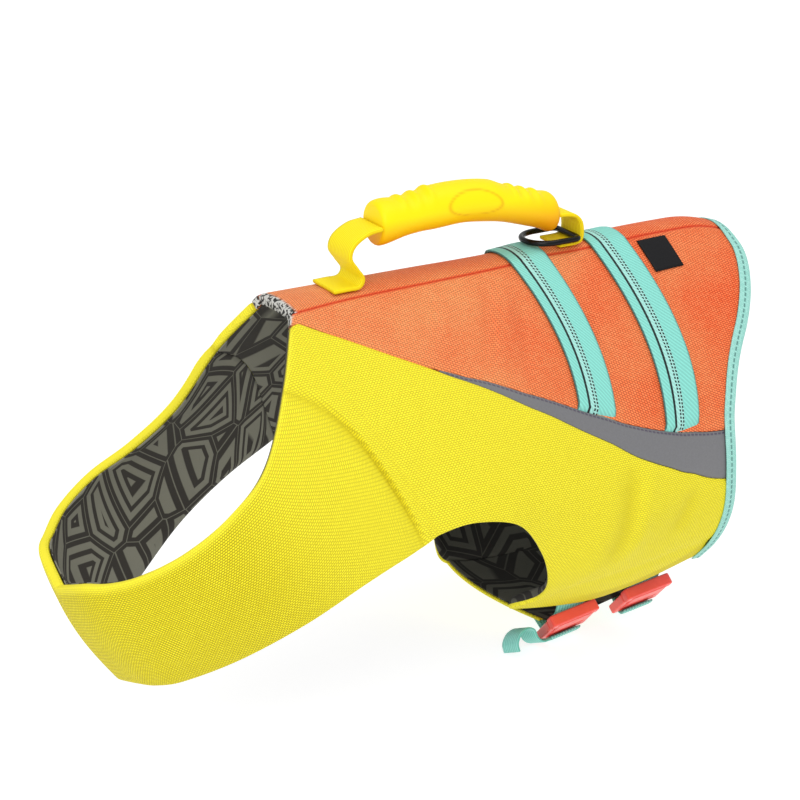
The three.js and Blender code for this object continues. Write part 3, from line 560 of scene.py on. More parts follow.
toned = mixed(tree, pale, ribs, "2F8054", blend_type="ADD")
grooved = mixed(tree, "groove", toned, "CF3512")
knots = node(tree, "TexNoise", {}, {"Vector": place.outputs["Object"], "Scale": 420, "Detail": 1})
knotted = node(tree, "MapRange", {}, {"Value": knots, "From Min": 0.45, "From Max": 0.55})
lining_edge = mixed(tree, knotted, "2B2A28", "C9C8C2")
edged = mixed(tree, "edging", grooved, lining_edge)
bump(tree, shader, ribs.outputs["Fac"], strength=0.6, distance=0.0003, invert=True)
finish(tree, shader, edged, roughness=0.65, shine=0.25)

CROWN = 2.2


def back(s, f):
    """Points on the back strip: f goes from -1 at the left seam to 1 at the right seam."""
    edge = top_at(s)
    height = edge[..., 2] + CROWN * (1 - f * f) - droop(s)
    return np.stack([edge[..., 0] + 0 * f, edge[..., 1] * f, height], axis=-1)


def back_normal(s, f):
    along = back(np.minimum(s + 0.1, HEM), f) - back(np.maximum(s - 0.1, CORNER), f)
    return unit(np.cross(along, back(s, f + 0.05) - back(s, f - 0.05)))


def seam_normal(s):
    """At the back seam two walls end on the line that halves the angle between them."""
    a, b = side_normal(s, np.zeros_like(s)), back_normal(s, np.ones_like(s))
    return (a + b) / (1 + (a * b).sum(-1, keepdims=True))


def wall_normal(s, t, reach):
    """The side's normals, which turn to the back seam's own within a reach of that seam."""
    down = lengths(side(s[:, None], t), 1)
    mitre = (ease(1 - down / reach) * (s[:, None] >= CORNER))[..., None]
    at_seam = seam_normal(np.maximum(s, CORNER))[:, None]
    return side_normal(s[:, None], t) * (1 - mitre) + at_seam * mitre


upper_s = np.r_[SHOULDER + 0.04, np.linspace(SHOULDER + 0.08, HEM, 150)]
sewn_ends = (np.ones_like(upper_s), np.ones_like(upper_s))
rows = rows_between(upper_s, np.zeros_like(upper_s), grey_top(upper_s), 64, sewn_ends)
moved_s = pulled_in(upper_s, (0, 1))
full = side(moved_s[:, None], rows)
down = lengths(full, 1)
normal = wall_normal(moved_s, rows, 12)
# Slack folds that slant down towards the head between the neck and the straps
SLACK = (
    {"from": (33, -1), "to": (7, -36), "wide": 5, "deep": 2.2},
    {"from": (42, -6), "to": (16, -41), "wide": 4.5, "deep": -1.6},
    {"from": (50, -13), "to": (34, -49), "wide": 5, "deep": 2},
    {"from": (-13, 0), "to": (-27, -17), "wide": 4.5, "deep": 1.8},
    {"from": (-3, -2), "to": (-16, -22), "wide": 4.5, "deep": -1.2},
    {"from": (96, -26), "to": (80, -68), "wide": 6, "deep": 1.8},
)
depth = np.maximum(edge_in(down, "sewn")[0], edge_in(down[:, -1:] - down, "sewn")[0])
outer = full - normal * (depth + troughs(full, SLACK) * ease(down / 6))[..., None]
inner = full - normal * FOAM
groove = 0.85 * ease(1 - down / 2.2) * (upper_s[:, None] >= CORNER)
marks = {"groove": groove, "edging": ease(1 - down / 2.5) * (upper_s[:, None] < CORNER)}
for word, mirror in SIDES:
    faces = outer * mirror, inner * mirror
    piece = cloth("upper_side_pad_" + word, *faces, outer[..., 0], girth(outer), orange_nylon, **marks)
    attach(piece, "jacket")
    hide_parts("upper_side_" + word)

# Back strip
# Narrow padded strip along the spine in the same orange nylon, sewn to the two upper sides.


def strip_normal(s, f):
    """Normals across the strip, which turn to the seam's own on both sides."""
    mitre = ease(1 - (1 - np.abs(f)) * top_at(s)[:, 1:2] / 9)[..., None]
    facing = seam_normal(s)[:, None] * np.stack([np.ones_like(f), np.sign(f), np.ones_like(f)], axis=-1)
    return back_normal(s[:, None], f) * (1 - mitre) + facing * mitre


strip_s = np.linspace(CORNER, HEM, 150)
shares = np.sin(np.linspace(-1, 1, 33) * np.pi / 2)
edge_y = top_at(strip_s)[:, 1:2]
f = shares * (1 - SEAM / 2 / edge_y)
full = back(strip_s[:, None], f)
normal = strip_normal(strip_s, f)
from_seam = (1 - np.abs(f)) * edge_y
depth = edge_in(from_seam, "sewn")[0] + (strip_s[:, None] < CORNER + 0.001) * 1.2
outer = full - normal * depth[..., None]
inner = full - normal * FOAM
outer[-1, :, 0] -= SEAM / 2
inner[-1, :, 0] -= SEAM / 2
turned_over = ease((4.5 - outer[..., 0] + outer[:1, :, 0]) / 1.5)
marks = {"groove": 0.85 * ease(1 - from_seam / 2.2), "edging": turned_over}
strip = cloth("back_strip_pad", outer, inner, outer[..., 0], lengths(outer, 1), orange_nylon, **marks)
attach(strip, "jacket")
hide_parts("back_panel")

# Linings
# Printed mesh-backed cloth behind the foam of the band, the two sides and the back. It shows inside
# the neck, the armholes and the tail end. The print is a plain design of nested rounded cells.
# Polyester print: dark lines 2.4 mm wide on a brownish grey ground, matt, with soft gathers
lining_print, tree, shader, place = new_material("printed_polyester_lining")
cells = node(tree, "TexVoronoi", {"feature": "DISTANCE_TO_EDGE"}, {
    "Vector": place.outputs["UV"], "Scale": 27, "Randomness": 0.9,
})
rings = node(tree, "Math", {"operation": "MULTIPLY"}, {0: cells.outputs["Distance"], 1: 41.0})
wave = node(tree, "Math", {"operation": "SINE"}, {0: rings})
lines = node(tree, "MapRange", {}, {"Value": wave, "From Min": 0.0, "From Max": 0.4})
printed = mixed(tree, lines, "7A796C", "37342F")
# Deep inside, past the shoulders, the lining lies in the garment's own shadow
shadow = mixed(tree, "deep_inside", printed, "1C1B1A")
gathers = node(tree, "TexNoise", {}, {"Vector": place.outputs["Object"], "Scale": 28, "Detail": 2})
bump(tree, shader, gathers, strength=0.6, distance=0.006)
finish(tree, shader, shadow, roughness=0.85, shine=0.25)


def lining_faces(s, t, normal):
    """A lining lies behind the foam and follows it outwards where the foam runs out at the rim."""
    full = side(s[:, None], t)
    down = lengths(full, 1)
    deep = FOAM - edge_in(down[:, -1:] - down, "taper")[1]
    return [full - normal * (deep + more)[..., None] for more in (LINING_GAP, LINING_GAP + LINING)]


def declare_lining(piece, node_name, outer):
    """Attaches a lining to the jacket and hides its part; what it measures along and across is worked out but
    not used.
    """
    along, across = lengths(outer, 0)[-1].max() * 0.001, lengths(outer, 1)[:, -1].max() * 0.001
    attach(piece, "jacket")
    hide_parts(node_name)


to_rim = np.r_[np.linspace(0, 0.9, 60), np.linspace(0.91, 0.998, 14)]
band_t = 0.012 + to_rim * 0.988
lined_s = pulled_in(np.linspace(0, CREASE, 90), (1, 1))
normal = side_normal(lined_s[:, None], band_t)
outer, inner = lining_faces(lined_s, band_t, normal)
for word, mirror in SIDES:
    faces, along = (outer * mirror, inner * mirror), lengths(outer, 0)[:, 20:21]
    piece = cloth("band_lining_cloth_" + word, *faces, along, lengths(outer, 1), lining_print)
    declare_lining(piece, "lining_band_" + word, outer)

lined_s = pulled_in(body_s, (1, 1))
body_t = rows_between(body_s, np.where(body_s < CORNER, 0.012, 0), np.full_like(body_s, 0.999), 110)
outer, inner = lining_faces(lined_s, body_t, wall_normal(lined_s, body_t, 14))
marks = {"deep_inside": 0.6 * ease((body_s[:, None] - 8.5) / 2) * ease((body_t - 0.2) / 0.4)}
for word, mirror in SIDES:
    faces = outer * mirror, inner * mirror
    piece = cloth("body_lining_cloth_" + word, *faces, outer[..., 0], girth(outer), lining_print, **marks)
    declare_lining(piece, "lining_body_" + word, outer)

lined_s = np.linspace(CORNER + 0.03, HEM - 0.01, 100)
f = np.linspace(-1, 1, 13) * (1 - SEAM / 2 / top_at(lined_s)[:, 1:2])
full = back(lined_s[:, None], f)
normal = strip_normal(lined_s, f)
outer, inner = full - normal * (FOAM + LINING_GAP), full - normal * WALL
piece = cloth("back_lining_cloth", outer, inner, outer[..., 0], lengths(outer, 1), lining_print)
declare_lining(piece, "lining_back", outer)

# Tail edge binding
# One aqua twill tape folded round the raw tail edge of all the layers, from rim to rim over the
# back, and held by one row of dark stitches along its middle.
BINDING_WIDTH = 9.5
BINDING_PROUD = 0.9
# Twill tape: pale woven polyester with short slanting yarns; the stitches are teal dashes 3 mm long
aqua_tape, tree, shader, place = new_material("twill_tape_aqua")
turned = node(tree, "Mapping", {}, {"Vector": place.outputs["UV"], "Rotation": (0, 0, math.radians(40))})
twill = bricks(
    tree, turned, ("A6DDD2", "93CFC3", "74B5A9"),
    gap=0.16, smooth=0.8, wide=2.4, tall=0.9, offset=0.4,
)
dash = bricks(
    tree, place.outputs["UV"], ("FFFFFF", "FFFFFF", "000000"),
    gap=0.7, smooth=0.1, wide=4.2, tall=60,
)
stitch_mark = node(tree, "Attribute", {"attribute_name": "stitch"}, {})
line = node(tree, "Math", {"operation": "MULTIPLY"}, {0: stitch_mark.outputs["Fac"], 1: dash})
sewn = mixed(tree, line, twill, "3D6F6A")
bump(tree, shader, twill.outputs["Fac"], strength=0.4, distance=0.0002, invert=True)
finish(tree, shader, sewn, roughness=0.7)

down_t = np.linspace(0, 1, 110)
hem_points, hem_normals = side(HEM, down_t), side_normal(HEM, down_t)
hem_normals[0] = seam_normal(np.array([HEM]))[0]
over_f = np.linspace(-1, 1, 13)[1:-1]
over, over_normals = back(np.full(11, HEM), over_f), back_normal(np.full(11, HEM), over_f)
left = np.array([1, -1, 1])
points = np.vstack([(hem_points * left)[::-1], over, hem_points])
normals = unit(np.vstack([(hem_normals * left)[::-1], over_normals, hem_normals]))
tangents = unit(np.gradient(points, axis=0))
rear = unit(np.cross(tangents, normals))
rear *= np.sign(rear[:, :1])
bow = 4.2
turn = np.linspace(0, np.pi, 13)
middle, half = -WALL / 2, WALL / 2 + BINDING_PROUD
fold_r = BINDING_WIDTH - bow + bow * np.sin(turn)
fold_n = middle + half * np.cos(turn)
flat_r = np.linspace(-1.2, BINDING_WIDTH - bow, 7)[:-1]
r = np.r_[flat_r, fold_r, flat_r[::-1]]
n = np.r_[np.full(6, BINDING_PROUD), fold_n, np.full(6, middle - half)]
TAPE = 0.8
inner_r = np.r_[flat_r, BINDING_WIDTH - bow + (bow - TAPE) * np.sin(turn), flat_r[::-1]]
inner_fold = middle + (half - TAPE) * np.cos(turn)
inner_n = np.r_[np.full(6, BINDING_PROUD - TAPE), inner_fold, np.full(6, middle - half + TAPE)]
outer = points[:, None] + rear[:, None] * r[:, None] + normals[:, None] * n[:, None]
inner = points[:, None] + rear[:, None] * inner_r[:, None] + normals[:, None] * inner_n[:, None]
across = lengths(outer, 1)
run = lengths(outer, 0)[:, 5:6]
stitch = ((across > 4.0) & (across < 5.4)) * 1.0
piece = cloth("tail_edge_tape", outer, inner, run, across, aqua_tape, stitch=stitch)
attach(piece, "jacket")
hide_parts("hem_binding")

# Straps over the back
# Two strips of aqua webbing that cross the back and tuck into the seam above the wedge. Each has
# a ribbed front band, a dark line and a pair of black pick lines, as it was woven.
WEBBING = 1.6
STRAP_GAP = 0.5
STRAP_WIDTH = 28
BACK_STRAPS = (
    {"name": "back_strap_front", "x": 68.8, "lean": 90, "bow": -170},
    {"name": "back_strap_rear", "x": 133, "lean": 90, "bow": -155},
)
# Polypropylene webbing: ribs 1.3 mm apart across the strap, slightly glossy
aqua_strap, tree, shader, place = new_material("striped_webbing_aqua")
parts = node(tree, "SeparateXYZ", {}, {"Vector": place.outputs["UV"]})
share = node(tree, "Math", {"operation": "MULTIPLY"}, {0: parts.outputs["Y"], 1: 1000 / STRAP_WIDTH})


def stripes(steps):
    """Colours that change at given shares of the strap's width."""
    ramp = node(tree, "ValToRGB", {}, {"Fac": share})
    ramp.color_ramp.interpolation = "CONSTANT"
    while len(ramp.color_ramp.elements) < len(steps):
        ramp.color_ramp.elements.new(1)
    for element, (at, code) in zip(ramp.color_ramp.elements, steps):
        element.position = at
        element.color = linear(code)
    return ramp


# The first, darkest stop is a painted shadow along the strap's front edge; the strap is also darker along its
# rear edge
bands = stripes([
    (0, "4A7A74"), (0.025, "86D6C9"), (0.25, "1B2827"),
    (0.312, "A2DED4"), (0.53, "86D6C9"), (0.97, "66B0A5"),
])
picked = stripes([(0, "000000"), (0.408, "FFFFFF"), (0.45, "000000"), (0.484, "FFFFFF"), (0.526, "000000")])
pitch = node(tree, "Math", {"operation": "MULTIPLY"}, {0: parts.outputs["X"], 1: 1000 / 2.4})
turn = node(tree, "Math", {"operation": "FRACT"}, {0: pitch})
dash = node(tree, "Math", {"operation": "LESS_THAN"}, {0: turn, 1: 0.62})
mark = node(tree, "Math", {"operation": "MULTIPLY"}, {0: picked, 1: dash})
marked = mixed(tree, mark, bands, "1B2625")
picks = node(tree, "TexWave", {"bands_direction": "DIAGONAL"}, {
    "Vector": place.outputs["UV"], "Scale": 190, "Distortion": 0.3,
})
toned = mixed(tree, 0.22, marked, picks, blend_type="MULTIPLY")
bump(tree, shader, picks.outputs["Fac"], strength=0.5, distance=0.0003)
finish(tree, shader, toned, roughness=0.55, shine=0.3)


def section_at(x, points_at, low=CREASE, high=HEM):
    """Sections whose points lie at a given X."""
    low, high = np.full(np.shape(x), float(low)), np.full(np.shape(x), float(high))
    for _ in range(30):
        middle = (low + high) / 2
        short = points_at(middle)[..., 0] < x
        low, high = np.where(short, middle, low), np.where(short, high, middle)
    return (low + high) / 2


for strap in BACK_STRAPS:
    shares = np.linspace(-0.5, 0.5, 15)[:, None]
    centre = section_at(np.array(strap["x"]), lambda s: side(s, 0.3))
    t = np.linspace(1, 0, 40)[None] * grey_top(centre)
    x = strap["x"] + strap["lean"] * t + strap["bow"] * t * t + shares * STRAP_WIDTH
    s = section_at(x, lambda q: side(q, t))
    last = grey_top(s[:, :1]) + 0.003
    t = np.hstack([last, np.broadcast_to(t[:, 1:], (15, 39))])
    s = section_at(x, lambda q: side(q, t))
    normal = side_normal(s, t)
    normal[:, -1] = seam_normal(s[:, -1])
    arm, arm_normal = side(s, t), unit(normal)
    f = np.linspace(-1, 1, 15)[None, 1:-1]
    x = strap["x"] + shares * STRAP_WIDTH + 0 * f
    s = section_at(x, lambda q: back(q, f))
    over, over_normal = back(s, f), back_normal(s, f)
    points = np.concatenate([arm * left, over, arm[:, ::-1]], axis=1)
    normals = np.concatenate([arm_normal * left, over_normal, arm_normal[:, ::-1]], axis=1)
    edge = 0.35 * (np.abs(shares) > 0.49)
    run = lengths(points, 1)
    tuck = ease(1 - np.minimum(run, run[:, -1:] - run) / 3.5)
    outer = points + normals * ((STRAP_GAP + WEBBING - edge) * (1 - tuck) - 1.6 * tuck)[..., None]
    inner = points + normals * ((STRAP_GAP + edge) * (1 - tuck) - 2.6 * tuck)[..., None]
    piece = cloth(strap["name"] + "_webbing", outer, inner, run, (shares + 0.5) * STRAP_WIDTH, aqua_strap)
    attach(piece, "jacket")
    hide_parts(strap["name"])

# Label
# Small black woven patch below the back seam on the left side. It is bare.
# Damask-woven label: fine black satin
black_satin, tree, shader, place = new_material("woven_label_black")
satin = node(tree, "TexNoise", {}, {"Vector": place.outputs["Object"], "Scale": 700, "Detail": 2})
tone = mixed(tree, satin, "08080A", "111114")
finish(tree, shader, tone, roughness=0.6, shine=0.2)
a, b = np.linspace(0, 1, 15)[:, None], np.linspace(0, 1, 15)[None]
LABEL = {"front": 155, "long": 23, "lean": 4, "top": 0.012, "bottom": 0.083}
t = LABEL["top"] + (LABEL["bottom"] - LABEL["top"]) * b + 0 * a
x = LABEL["front"] + LABEL["long"] * a + LABEL["lean"] * b
s = section_at(x, lambda q: side(q, t))
points, normals = side(s, t) * left, side_normal(s, t) * left
outer, inner = points + normals * 1.4, points + normals * STRAP_GAP
piece = cloth("label_cloth", outer, inner, lengths(outer, 0), lengths(outer, 1), black_satin)
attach(piece, "jacket")
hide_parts("label_patch")
tall, long = lengths(outer, 1)[0, -1] * 0.001, lengths(outer, 0)[-1, 0] * 0.001

# Handle webbing
# Doubled yellow webbing at each end of the grip, with a foot sewn flat on the back strip. The rear
# one is folded round the D-ring's straight side.
WEBBING_WIDTH = 25
HANDLE_WEBBING = 2.4
RING_BAR = 109.8
# Ribbed yellow webbing, with a painted sheen that makes the ribs lighter
yellow_strap, tree, shader, place = new_material("ribbed_webbing_yellow")
picks = node(tree, "TexWave", {"bands_direction": "Y"}, {
    "Vector": place.outputs["UV"], "Scale": 170, "Distortion": 0.3,
})
toned = mixed(tree, picks.outputs["Fac"], "E8CC08", "FBEC20")
bump(tree, shader, picks.outputs["Fac"], strength=0.4, distance=0.0003)
finish(tree, shader, toned, roughness=0.7, shine=0.2)


def back_top(x):
    return back(section_at(np.array(float(x)), lambda s: back(s, np.zeros_like(s))), np.zeros(()))[2]


def foot_middle(x):
    return back_top(x) + SEAM + HANDLE_WEBBING / 2


def webbing_strip(name, path, width, thickness, across, material):
    """Flat webbing along a path; across is the way its width points."""
    curve = spline(path)
    u = np.linspace(0, len(path) - 1, len(path) * 8)
    points = curve(u)
    across = unit(np.array(across, float))
    face = unit(np.cross(unit(np.gradient(points, axis=0)), across))
    shares = np.linspace(-0.5, 0.5, 13)[:, None, None]
    edge = 0.3 * (np.abs(shares) > 0.49)
    middle = points + shares * width * across
    outer, inner = middle + face * (thickness / 2 - edge), middle - face * (thickness / 2 - edge)
    run = lengths(outer, 1)
    return cloth(name, outer, inner, run, (shares[:, :, 0] + 0.5) * width, material)


FRONT_PATH = [
    (-76, 0, foot_middle(-76)), (-67, 0, foot_middle(-67)), (-58, 0, foot_middle(-58) + 0.2),
    (-55, 0, 15), (-59.5, 0, 22), (-64, 0, 29.5), (-61, 0, 37.5), (-51, 0, 43.5), (-40.6, 0, 45.2),
]
REAR_PATH = [
    (RING_BAR + x, 0, z) for x, z in (
        (-13.7, 33.8), (-7.3, 33.4), (-1, 31.6), (2.6, 27.6), (3.9, 22.3), (3.8, 17.4),
        (2.3, 14.3), (-1, 13.3), (-5, foot_middle(RING_BAR - 5)),
        (-9.5, foot_middle(RING_BAR - 9.5)), (-14, foot_middle(RING_BAR - 14)),
    )
]
for word, path, width in (("front", FRONT_PATH, 30), ("rear", REAR_PATH, WEBBING_WIDTH)):
    piece = webbing_strip("handle_webbing_" + word, path, width, HANDLE_WEBBING, (0, 1, 0), yellow_strap)
    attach(piece, "jacket")
    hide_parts("handle_strap_" + word)

# Grip
# Soft thermoplastic rubber moulded round the webbing: a fat bent bar with three finger ridges on
# top at each end, and a plain raised oval on each flank.
GRIP = [
    (-40, 45.2, 14.6, 14.5), (-33, 46.2, 14.8, 15), (-20, 47.4, 13, 14.3), (-8, 49, 13.2, 14.3),
    (3, 50.3, 14.3, 14.5), (25, 51.1, 14, 14.5), (46, 48.8, 14, 14.3), (56, 45.9, 12.9, 14),
    (68, 42, 12.4, 13.8), (84, 37.2, 12.6, 13.8), (91, 35.2, 13.6, 14), (95.5, 34.2, 12.8, 13.4),
]
RIDGES = (-21.5, -11.5, -1.5, 63, 72, 81)
# TPR rubber: smooth yellow with a fine moulded grain, and painted shade that makes it a little darker
# underneath
grip_rubber, tree, shader, place = new_material("moulded_rubber_yellow")
height = node(tree, "SeparateXYZ", {}, {"Vector": place.outputs["Object"]})
# Painted shade: darker on the lower part of the grip
low = node(tree, "MapRange", {}, {"Value": height.outputs["Z"], "From Min": 0.03, "From Max": 0.05})
tone = mixed(tree, low, "E89A00", "F8DC00")
# Darker along the outline of the raised oval
lined = mixed(tree, "oval_line", tone, "D79A00")
grain = node(tree, "TexNoise", {}, {"Vector": place.outputs["Object"], "Scale": 1400, "Detail": 2})
bump(tree, shader, grain, strength=0.15, distance=0.0002)
finish(tree, shader, lined, roughness=0.5, shine=0.2)


def tube(name, rings, material, closed=False, mark=None):
    """Round body through rings of points, merged where the grid meets itself."""
    count, sides = rings.shape[:2]
    rings = np.concatenate([rings, rings[:, :1]], axis=1)
    if closed:
        rings = np.concatenate([rings, rings[:1]], axis=0)
    columns, rows = rings.shape[:2]
    bm = bmesh.new()
    bmesh.ops.create_grid(bm, x_segments=columns - 1, y_segments=rows - 1, size=1)
    spots = np.array([vert.co[:] for vert in bm.verts])
    i = np.rint((spots[:, 0] + 1) / 2 * (columns - 1)).astype(int)
    j = np.rint((spots[:, 1] + 1) / 2 * (rows - 1)).astype(int)
    for vert, point in zip(bm.verts, rings[i, j]):
        vert.co = point
    if mark is not None:
        layer = bm.verts.layers.float.new("oval_line")
        for vert, value in zip(bm.verts, mark[i, j % mark.shape[1]]):
            vert[layer] = value
    bmesh.ops.remove_doubles(bm, verts=bm.verts, dist=0.0005)
    bmesh.ops.holes_fill(bm, edges=[edge for edge in bm.edges if edge.is_boundary], sides=0)
    return as_object(name, bm, material)


first, last = GRIP[0][0], GRIP[-1][0]
near = np.array([0, 0.1, 0.4, 1.0, 2.0])
x = np.r_[first + near, np.linspace(first + 3, last - 3, 150), last - near[::-1]]
middle_z, high, wide = (through([(row[0], row[k]) for row in GRIP])(x)[:, None] for k in (1, 2, 3))
end_round = np.minimum(x - first, last - x)[:, None]
rounded = 1 - 0.16 * (1 - np.sqrt(np.clip(1 - (1 - np.clip(end_round / 3, 0, 1)) ** 2, 0, 1)))
angle = np.arange(64)[None] / 64 * 2 * np.pi
ridge = sum(1.7 * np.cos(np.clip(np.abs(x - at) / 4, 0, 1) * np.pi / 2) ** 2 for at in RIDGES)[:, None]
up = np.sin(angle)
lift = ridge * ease((up - 0.15) / 0.4)
oval = ((x[:, None] - 28.8) / 20) ** 2 + ((np.sin(angle) * high - 2) / 8) ** 2
outline = np.exp(-(((oval - 1) / 0.13) ** 2))
raised = 0.4 * outline
rings = np.stack([
    x[:, None] + 0 * angle,
    np.cos(angle) * (wide * rounded + raised),
    middle_z + up * (high * rounded + lift),
], axis=-1)
grip = tube("handle_grip_rubber", rings, grip_rubber, mark=outline * 0.6)
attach(grip, "jacket")
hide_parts("handle_grip")

# D-ring
# Steel wire bent to a D, welded, and coated black. Its straight side runs in the rear webbing loop.
# Black coated steel: smooth, hard highlights
black_steel, tree, shader, place = new_material("black_coated_steel")
speck = node(tree, "TexNoise", {}, {"Vector": place.outputs["Object"], "Scale": 300, "Detail": 2})
tone = mixed(tree, speck, "050506", "0B0B0D")
finish(tree, shader, tone, roughness=0.25, shine=0.22)
RING = {"wire": 2, "bow": 76, "half": 15, "z": 17.1, "dip": 0.4, "corner": 4.5}


def bezier(points, count):
    """Places along a Bezier curve, without its last point."""
    share = np.linspace(0, 1, count, endpoint=False)[:, None]
    level = [np.array(point, float) + 0 * share for point in points]
    while len(level) > 1:
        level = [a + (b - a) * share for a, b in zip(level, level[1:])]
    return level[0]


half, corner, bow_x = RING["half"], RING["corner"], RING["bow"]
inner_y, start = half - corner, bow_x + half + 2
ring_path = np.vstack([
    bezier([(RING_BAR, -inner_y), (RING_BAR, inner_y)], 12),
    bezier([(RING_BAR, inner_y), (RING_BAR, half), (RING_BAR - corner, half)], 10),
    bezier([(RING_BAR - corner, half), (start, half)], 8),
    bezier([(start, half), (bow_x - 6, half), (bow_x - 6, -half), (start, -half)], 40),
    bezier([(start, -half), (RING_BAR - corner, -half)], 8),
    bezier([(RING_BAR - corner, -half), (RING_BAR, -half), (RING_BAR, -inner_y)], 10),
])
z = RING["z"] - RING["dip"] * (RING_BAR - ring_path[:, 0]) / (RING_BAR - bow_x)
ring_path = np.column_stack([ring_path, z])
ahead = np.roll(ring_path, -1, axis=0) - np.roll(ring_path, 1, axis=0)
out = unit(np.cross(ahead, (0, 0, 1)))[:, None]
angle = (np.arange(20) / 20 * 2 * np.pi)[None, :, None]
round_wire = out * np.cos(angle) + np.array([0, 0, 1]) * np.sin(angle)
rings = ring_path[:, None] + round_wire * RING["wire"]
ring = tube("d_ring_wire", rings, black_steel, closed=True)
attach(ring, "d_ring")
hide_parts("d_ring")

# Belly panel
# Thin padded yellow panel sewn along the right bottom edge, hanging across to the left side, with
# its own lining.
BELLY = 3
BELLY_NEAR = np.array([(85.5, -13, -260.5), (182, -13, -246.5)], float)
BELLY_SAG = np.array([(50, 25, -245.5), (180, 30, -239.5)], float)


def belly_point(a, b):
    a, b = np.broadcast_arrays(np.asarray(a, float), np.asarray(b, float))
    s = LOBE + (HEM - LOBE) * a
    drop = unit(side(s, 1) - side(s, 0.97))
    far = side(s, 1) + drop * 2 * SEAM - side_normal(s, 1) * 1.6
    a, b = a[..., None], b[..., None]
    sag = BELLY_SAG[0] + (BELLY_SAG[1] - BELLY_SAG[0]) * a
    near = BELLY_NEAR[0] + (BELLY_NEAR[1] - BELLY_NEAR[0]) * a
    return far * (1 - b) ** 2 + 2 * sag * b * (1 - b) + near * b**2


def belly_at(a, b, height):
    a, b = np.broadcast_arrays(np.asarray(a, float), np.asarray(b, float))
    along = belly_point(np.minimum(a + 0.02, 1), b) - belly_point(np.maximum(a - 0.02, 0), b)
    across = belly_point(a, np.minimum(b + 0.02, 1)) - belly_point(a, np.maximum(b - 0.02, 0))
    normal = unit(np.cross(along, across))
    normal = normal * -np.sign(normal[..., 2:])
    return belly_point(a, b) + normal * np.broadcast_to(height, a.shape)[..., None]


near_edge = np.array([0, 0.3, 0.8, 1.5, 2.4])
LONG, WIDE = 130, 90
a, b = (
    np.r_[near_edge / size, np.linspace(4 / size, 1 - 4 / size, count), 1 - near_edge[::-1] / size]
    for size, count in ((LONG, 60), (WIDE, 50))
)
a, b = a[:, None], b[None]
from_edge = np.minimum(np.minimum(a, 1 - a) * LONG, np.minimum(b, 1 - b) * WIDE)
roll = 1.4 * (1 - np.sqrt(1 - np.clip(1 - from_edge / 1.4, 0, 1) ** 2))
outer, inner = belly_at(a, b, -roll), belly_at(a, b, roll - BELLY)
# Painted highlight along the rolled edges
pale = 0.6 * ease(1 - from_edge / 2)
piece = cloth("belly_pad", outer, inner, lengths(outer, 0), lengths(outer, 1), yellow_nylon, pale=pale)
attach(piece, "jacket")
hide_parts("belly_panel")
a, b = np.linspace(0.012, 0.988, 50)[:, None], np.linspace(-0.035, 1.1, 46)[None]
low = BELLY + LINING_GAP
outer, inner = belly_at(a, b, -low), belly_at(a, b, -low - LINING)
along, across = lengths(outer, 0), lengths(outer, 1)
piece = cloth("belly_lining_cloth", outer, inner, along, across, lining_print, deep_inside=0.6)
declare_lining(piece, "lining_belly", outer)

# Buckles
# Side-release buckles moulded in coral resin: a socket with two side windows above, and a prong
# half with a ladder for the webbing below.
# Acetal resin: smooth moulded plastic, a soft shine, slightly cloudy
coral_resin, tree, shader, place = new_material("moulded_acetal_coral")
cloudy = node(tree, "TexNoise", {}, {"Vector": place.outputs["Object"], "Scale": 120, "Detail": 3})
tone = mixed(tree, cloudy, "EE4A40", "F65A50")
finish(tree, shader, tone, roughness=0.35)
for name in ("buckle_prong_front", "buckle_prong_rear", "buckle_socket_front", "buckle_socket_rear"):
    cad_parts[name].data.materials.clear()
    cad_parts[name].data.materials.append(coral_resin)

# Belly webbing
# Plain aqua webbing that holds the buckles: below, from under the belly panel round the prong
# half's foot; above, from the inside of the left rim to the socket. The front strap's loose end
# is curled over ahead of its buckle.
BUCKLES = (
    {"word": "front", "corner": (78.5, -21, -267.5), "rise": 8},
    {"word": "rear", "corner": (140, -21, -261.5), "rise": 7},
)
BUCKLE_WIDTH, BUCKLE_LENGTH = 38, 33
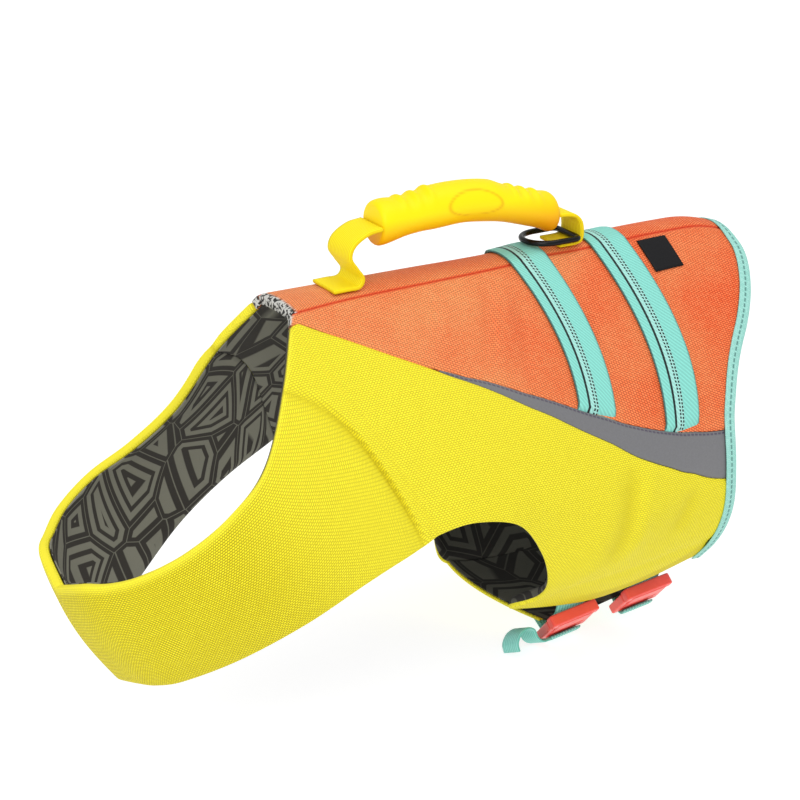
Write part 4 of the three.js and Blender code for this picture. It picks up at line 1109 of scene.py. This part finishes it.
# Plain ribbed polypropylene webbing
aqua_plain, tree, shader, place = new_material("ribbed_webbing_aqua")
picks = node(tree, "TexWave", {"bands_direction": "Y"}, {
    "Vector": place.outputs["UV"], "Scale": 130, "Distortion": 0.3,
})
toned = mixed(tree, picks.outputs["Fac"], "62B5A7", "8AD6C9")
bump(tree, shader, picks.outputs["Fac"], strength=0.5, distance=0.0003)
finish(tree, shader, toned, roughness=0.5)
for buckle in BUCKLES:
    slope = math.radians(buckle["rise"])
    along_x = np.array([math.cos(slope), 0, math.sin(slope)])
    out = unit(-np.cross(np.cross((0.1, -0.7, -0.71), along_x), along_x))
    up = unit(np.cross(out, along_x))
    up = up * np.sign(up[2])
    centre = np.array(buckle["corner"], float) + along_x * BUCKLE_WIDTH / 2

    def local(v, n):
        return centre + up * v + out * n

    def under(b):
        places = np.linspace(0, 1, 101)
        a = places[np.argmax(belly_point(places, b)[:, 0] >= centre[0])]
        point = belly_at(a, b, SEAM + 1.4 + WEBBING / 2)
        return np.array([centre[0], point[1], point[2]])

    lower = [under(b) for b in (0.45, 0.65, 0.85, 0.97)]
    lower += [local(-1.8, -2.5), local(-2.2, 1.5), local(1, 5.2), local(6, 5.2)]
    piece = webbing_strip("belly_strap_" + buckle["word"], lower, WEBBING_WIDTH, WEBBING, along_x, aqua_plain)
    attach(piece, "jacket")
    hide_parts("belly_webbing_" + buckle["word"])

    def inside(t, depth):
        s = section_at(np.array(centre[0]), lambda q: side(q, t))
        return (side(s, t) - side_normal(s, t) * depth) * left

    rest = WALL + SEAM + WEBBING / 2 + 4.2
    upper = [inside(0.9, rest), inside(0.94, rest), inside(0.985, rest)]
    upper += [local(BUCKLE_LENGTH - 3, -5.6), local(BUCKLE_LENGTH - 13, -5.6)]
    piece = webbing_strip("rim_strap_" + buckle["word"], upper, WEBBING_WIDTH, WEBBING, along_x, aqua_plain)
    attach(piece, "jacket")
    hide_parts("rim_webbing_" + buckle["word"])

CURL = [
    (77.6, -31, -264.8), (71.5, -31, -265), (66.5, -31, -261), (63, -31.5, -254),
    (57.5, -32, -251.5), (52, -32, -254.5), (49.5, -32, -261), (51, -32, -267.5),
]
piece = webbing_strip("strap_end_curl", CURL, WEBBING_WIDTH - 3, WEBBING, (0, 0.9, -0.43), aqua_plain)
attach(piece, "jacket")
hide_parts("webbing_tail")

# Studio
# White floor and soft white light all round, as in a catalogue photograph, with a camera where
# the photograph was taken from.
floor_paint, _, shader, _ = new_material("white_floor")
shader.inputs["Base Color"].default_value = linear("A8A8A8")
shader.inputs["Emission Color"].default_value = linear("FFFFFF")
shader.inputs["Emission Strength"].default_value = 0.78
shader.inputs["Roughness"].default_value = 0.9
bm = bmesh.new()
bmesh.ops.create_grid(bm, x_segments=1, y_segments=1, size=6000)
bmesh.ops.translate(bm, vec=(0, 0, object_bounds()[0].z * 1000 - 0.5), verts=bm.verts)
floor = as_object("floor", bm, floor_paint)

world = bpy.data.worlds.new("studio")
world.use_nodes = True
world.node_tree.nodes["Background"].inputs["Color"].default_value = (1, 1, 1, 1)
world.node_tree.nodes["Background"].inputs["Strength"].default_value = 0.72
bpy.context.scene.world = world
bpy.context.scene.view_settings.view_transform = "Standard"

TARGET = Vector((-0.020, 0, -0.0785))
for name, at, size, power in (
    ("window_light", (-1.2, -1.6, 1.5), 1.4, 25),
    ("top_light", (0.4, -0.3, 1.8), 1.2, 10),
):
    lamp = bpy.data.lights.new(name, "AREA")
    lamp.size = size
    lamp.energy = power
    holder = bpy.data.objects.new(name, lamp)
    holder.location = at
    holder.rotation_euler = (TARGET - Vector(at)).to_track_quat("-Z", "Y").to_euler()
    bpy.context.scene.collection.objects.link(holder)

lens = bpy.data.cameras.new("camera")
lens.lens = 108
lens.sensor_width = 36
camera = bpy.data.objects.new("camera", lens)
back_off = Vector((-0.468, -0.811, 0.352)).normalized()
camera.location = TARGET + back_off * 1.584
camera.rotation_euler = (-back_off).to_track_quat("-Z", "Y").to_euler()
bpy.context.scene.collection.objects.link(camera)
bpy.context.scene.camera = camera
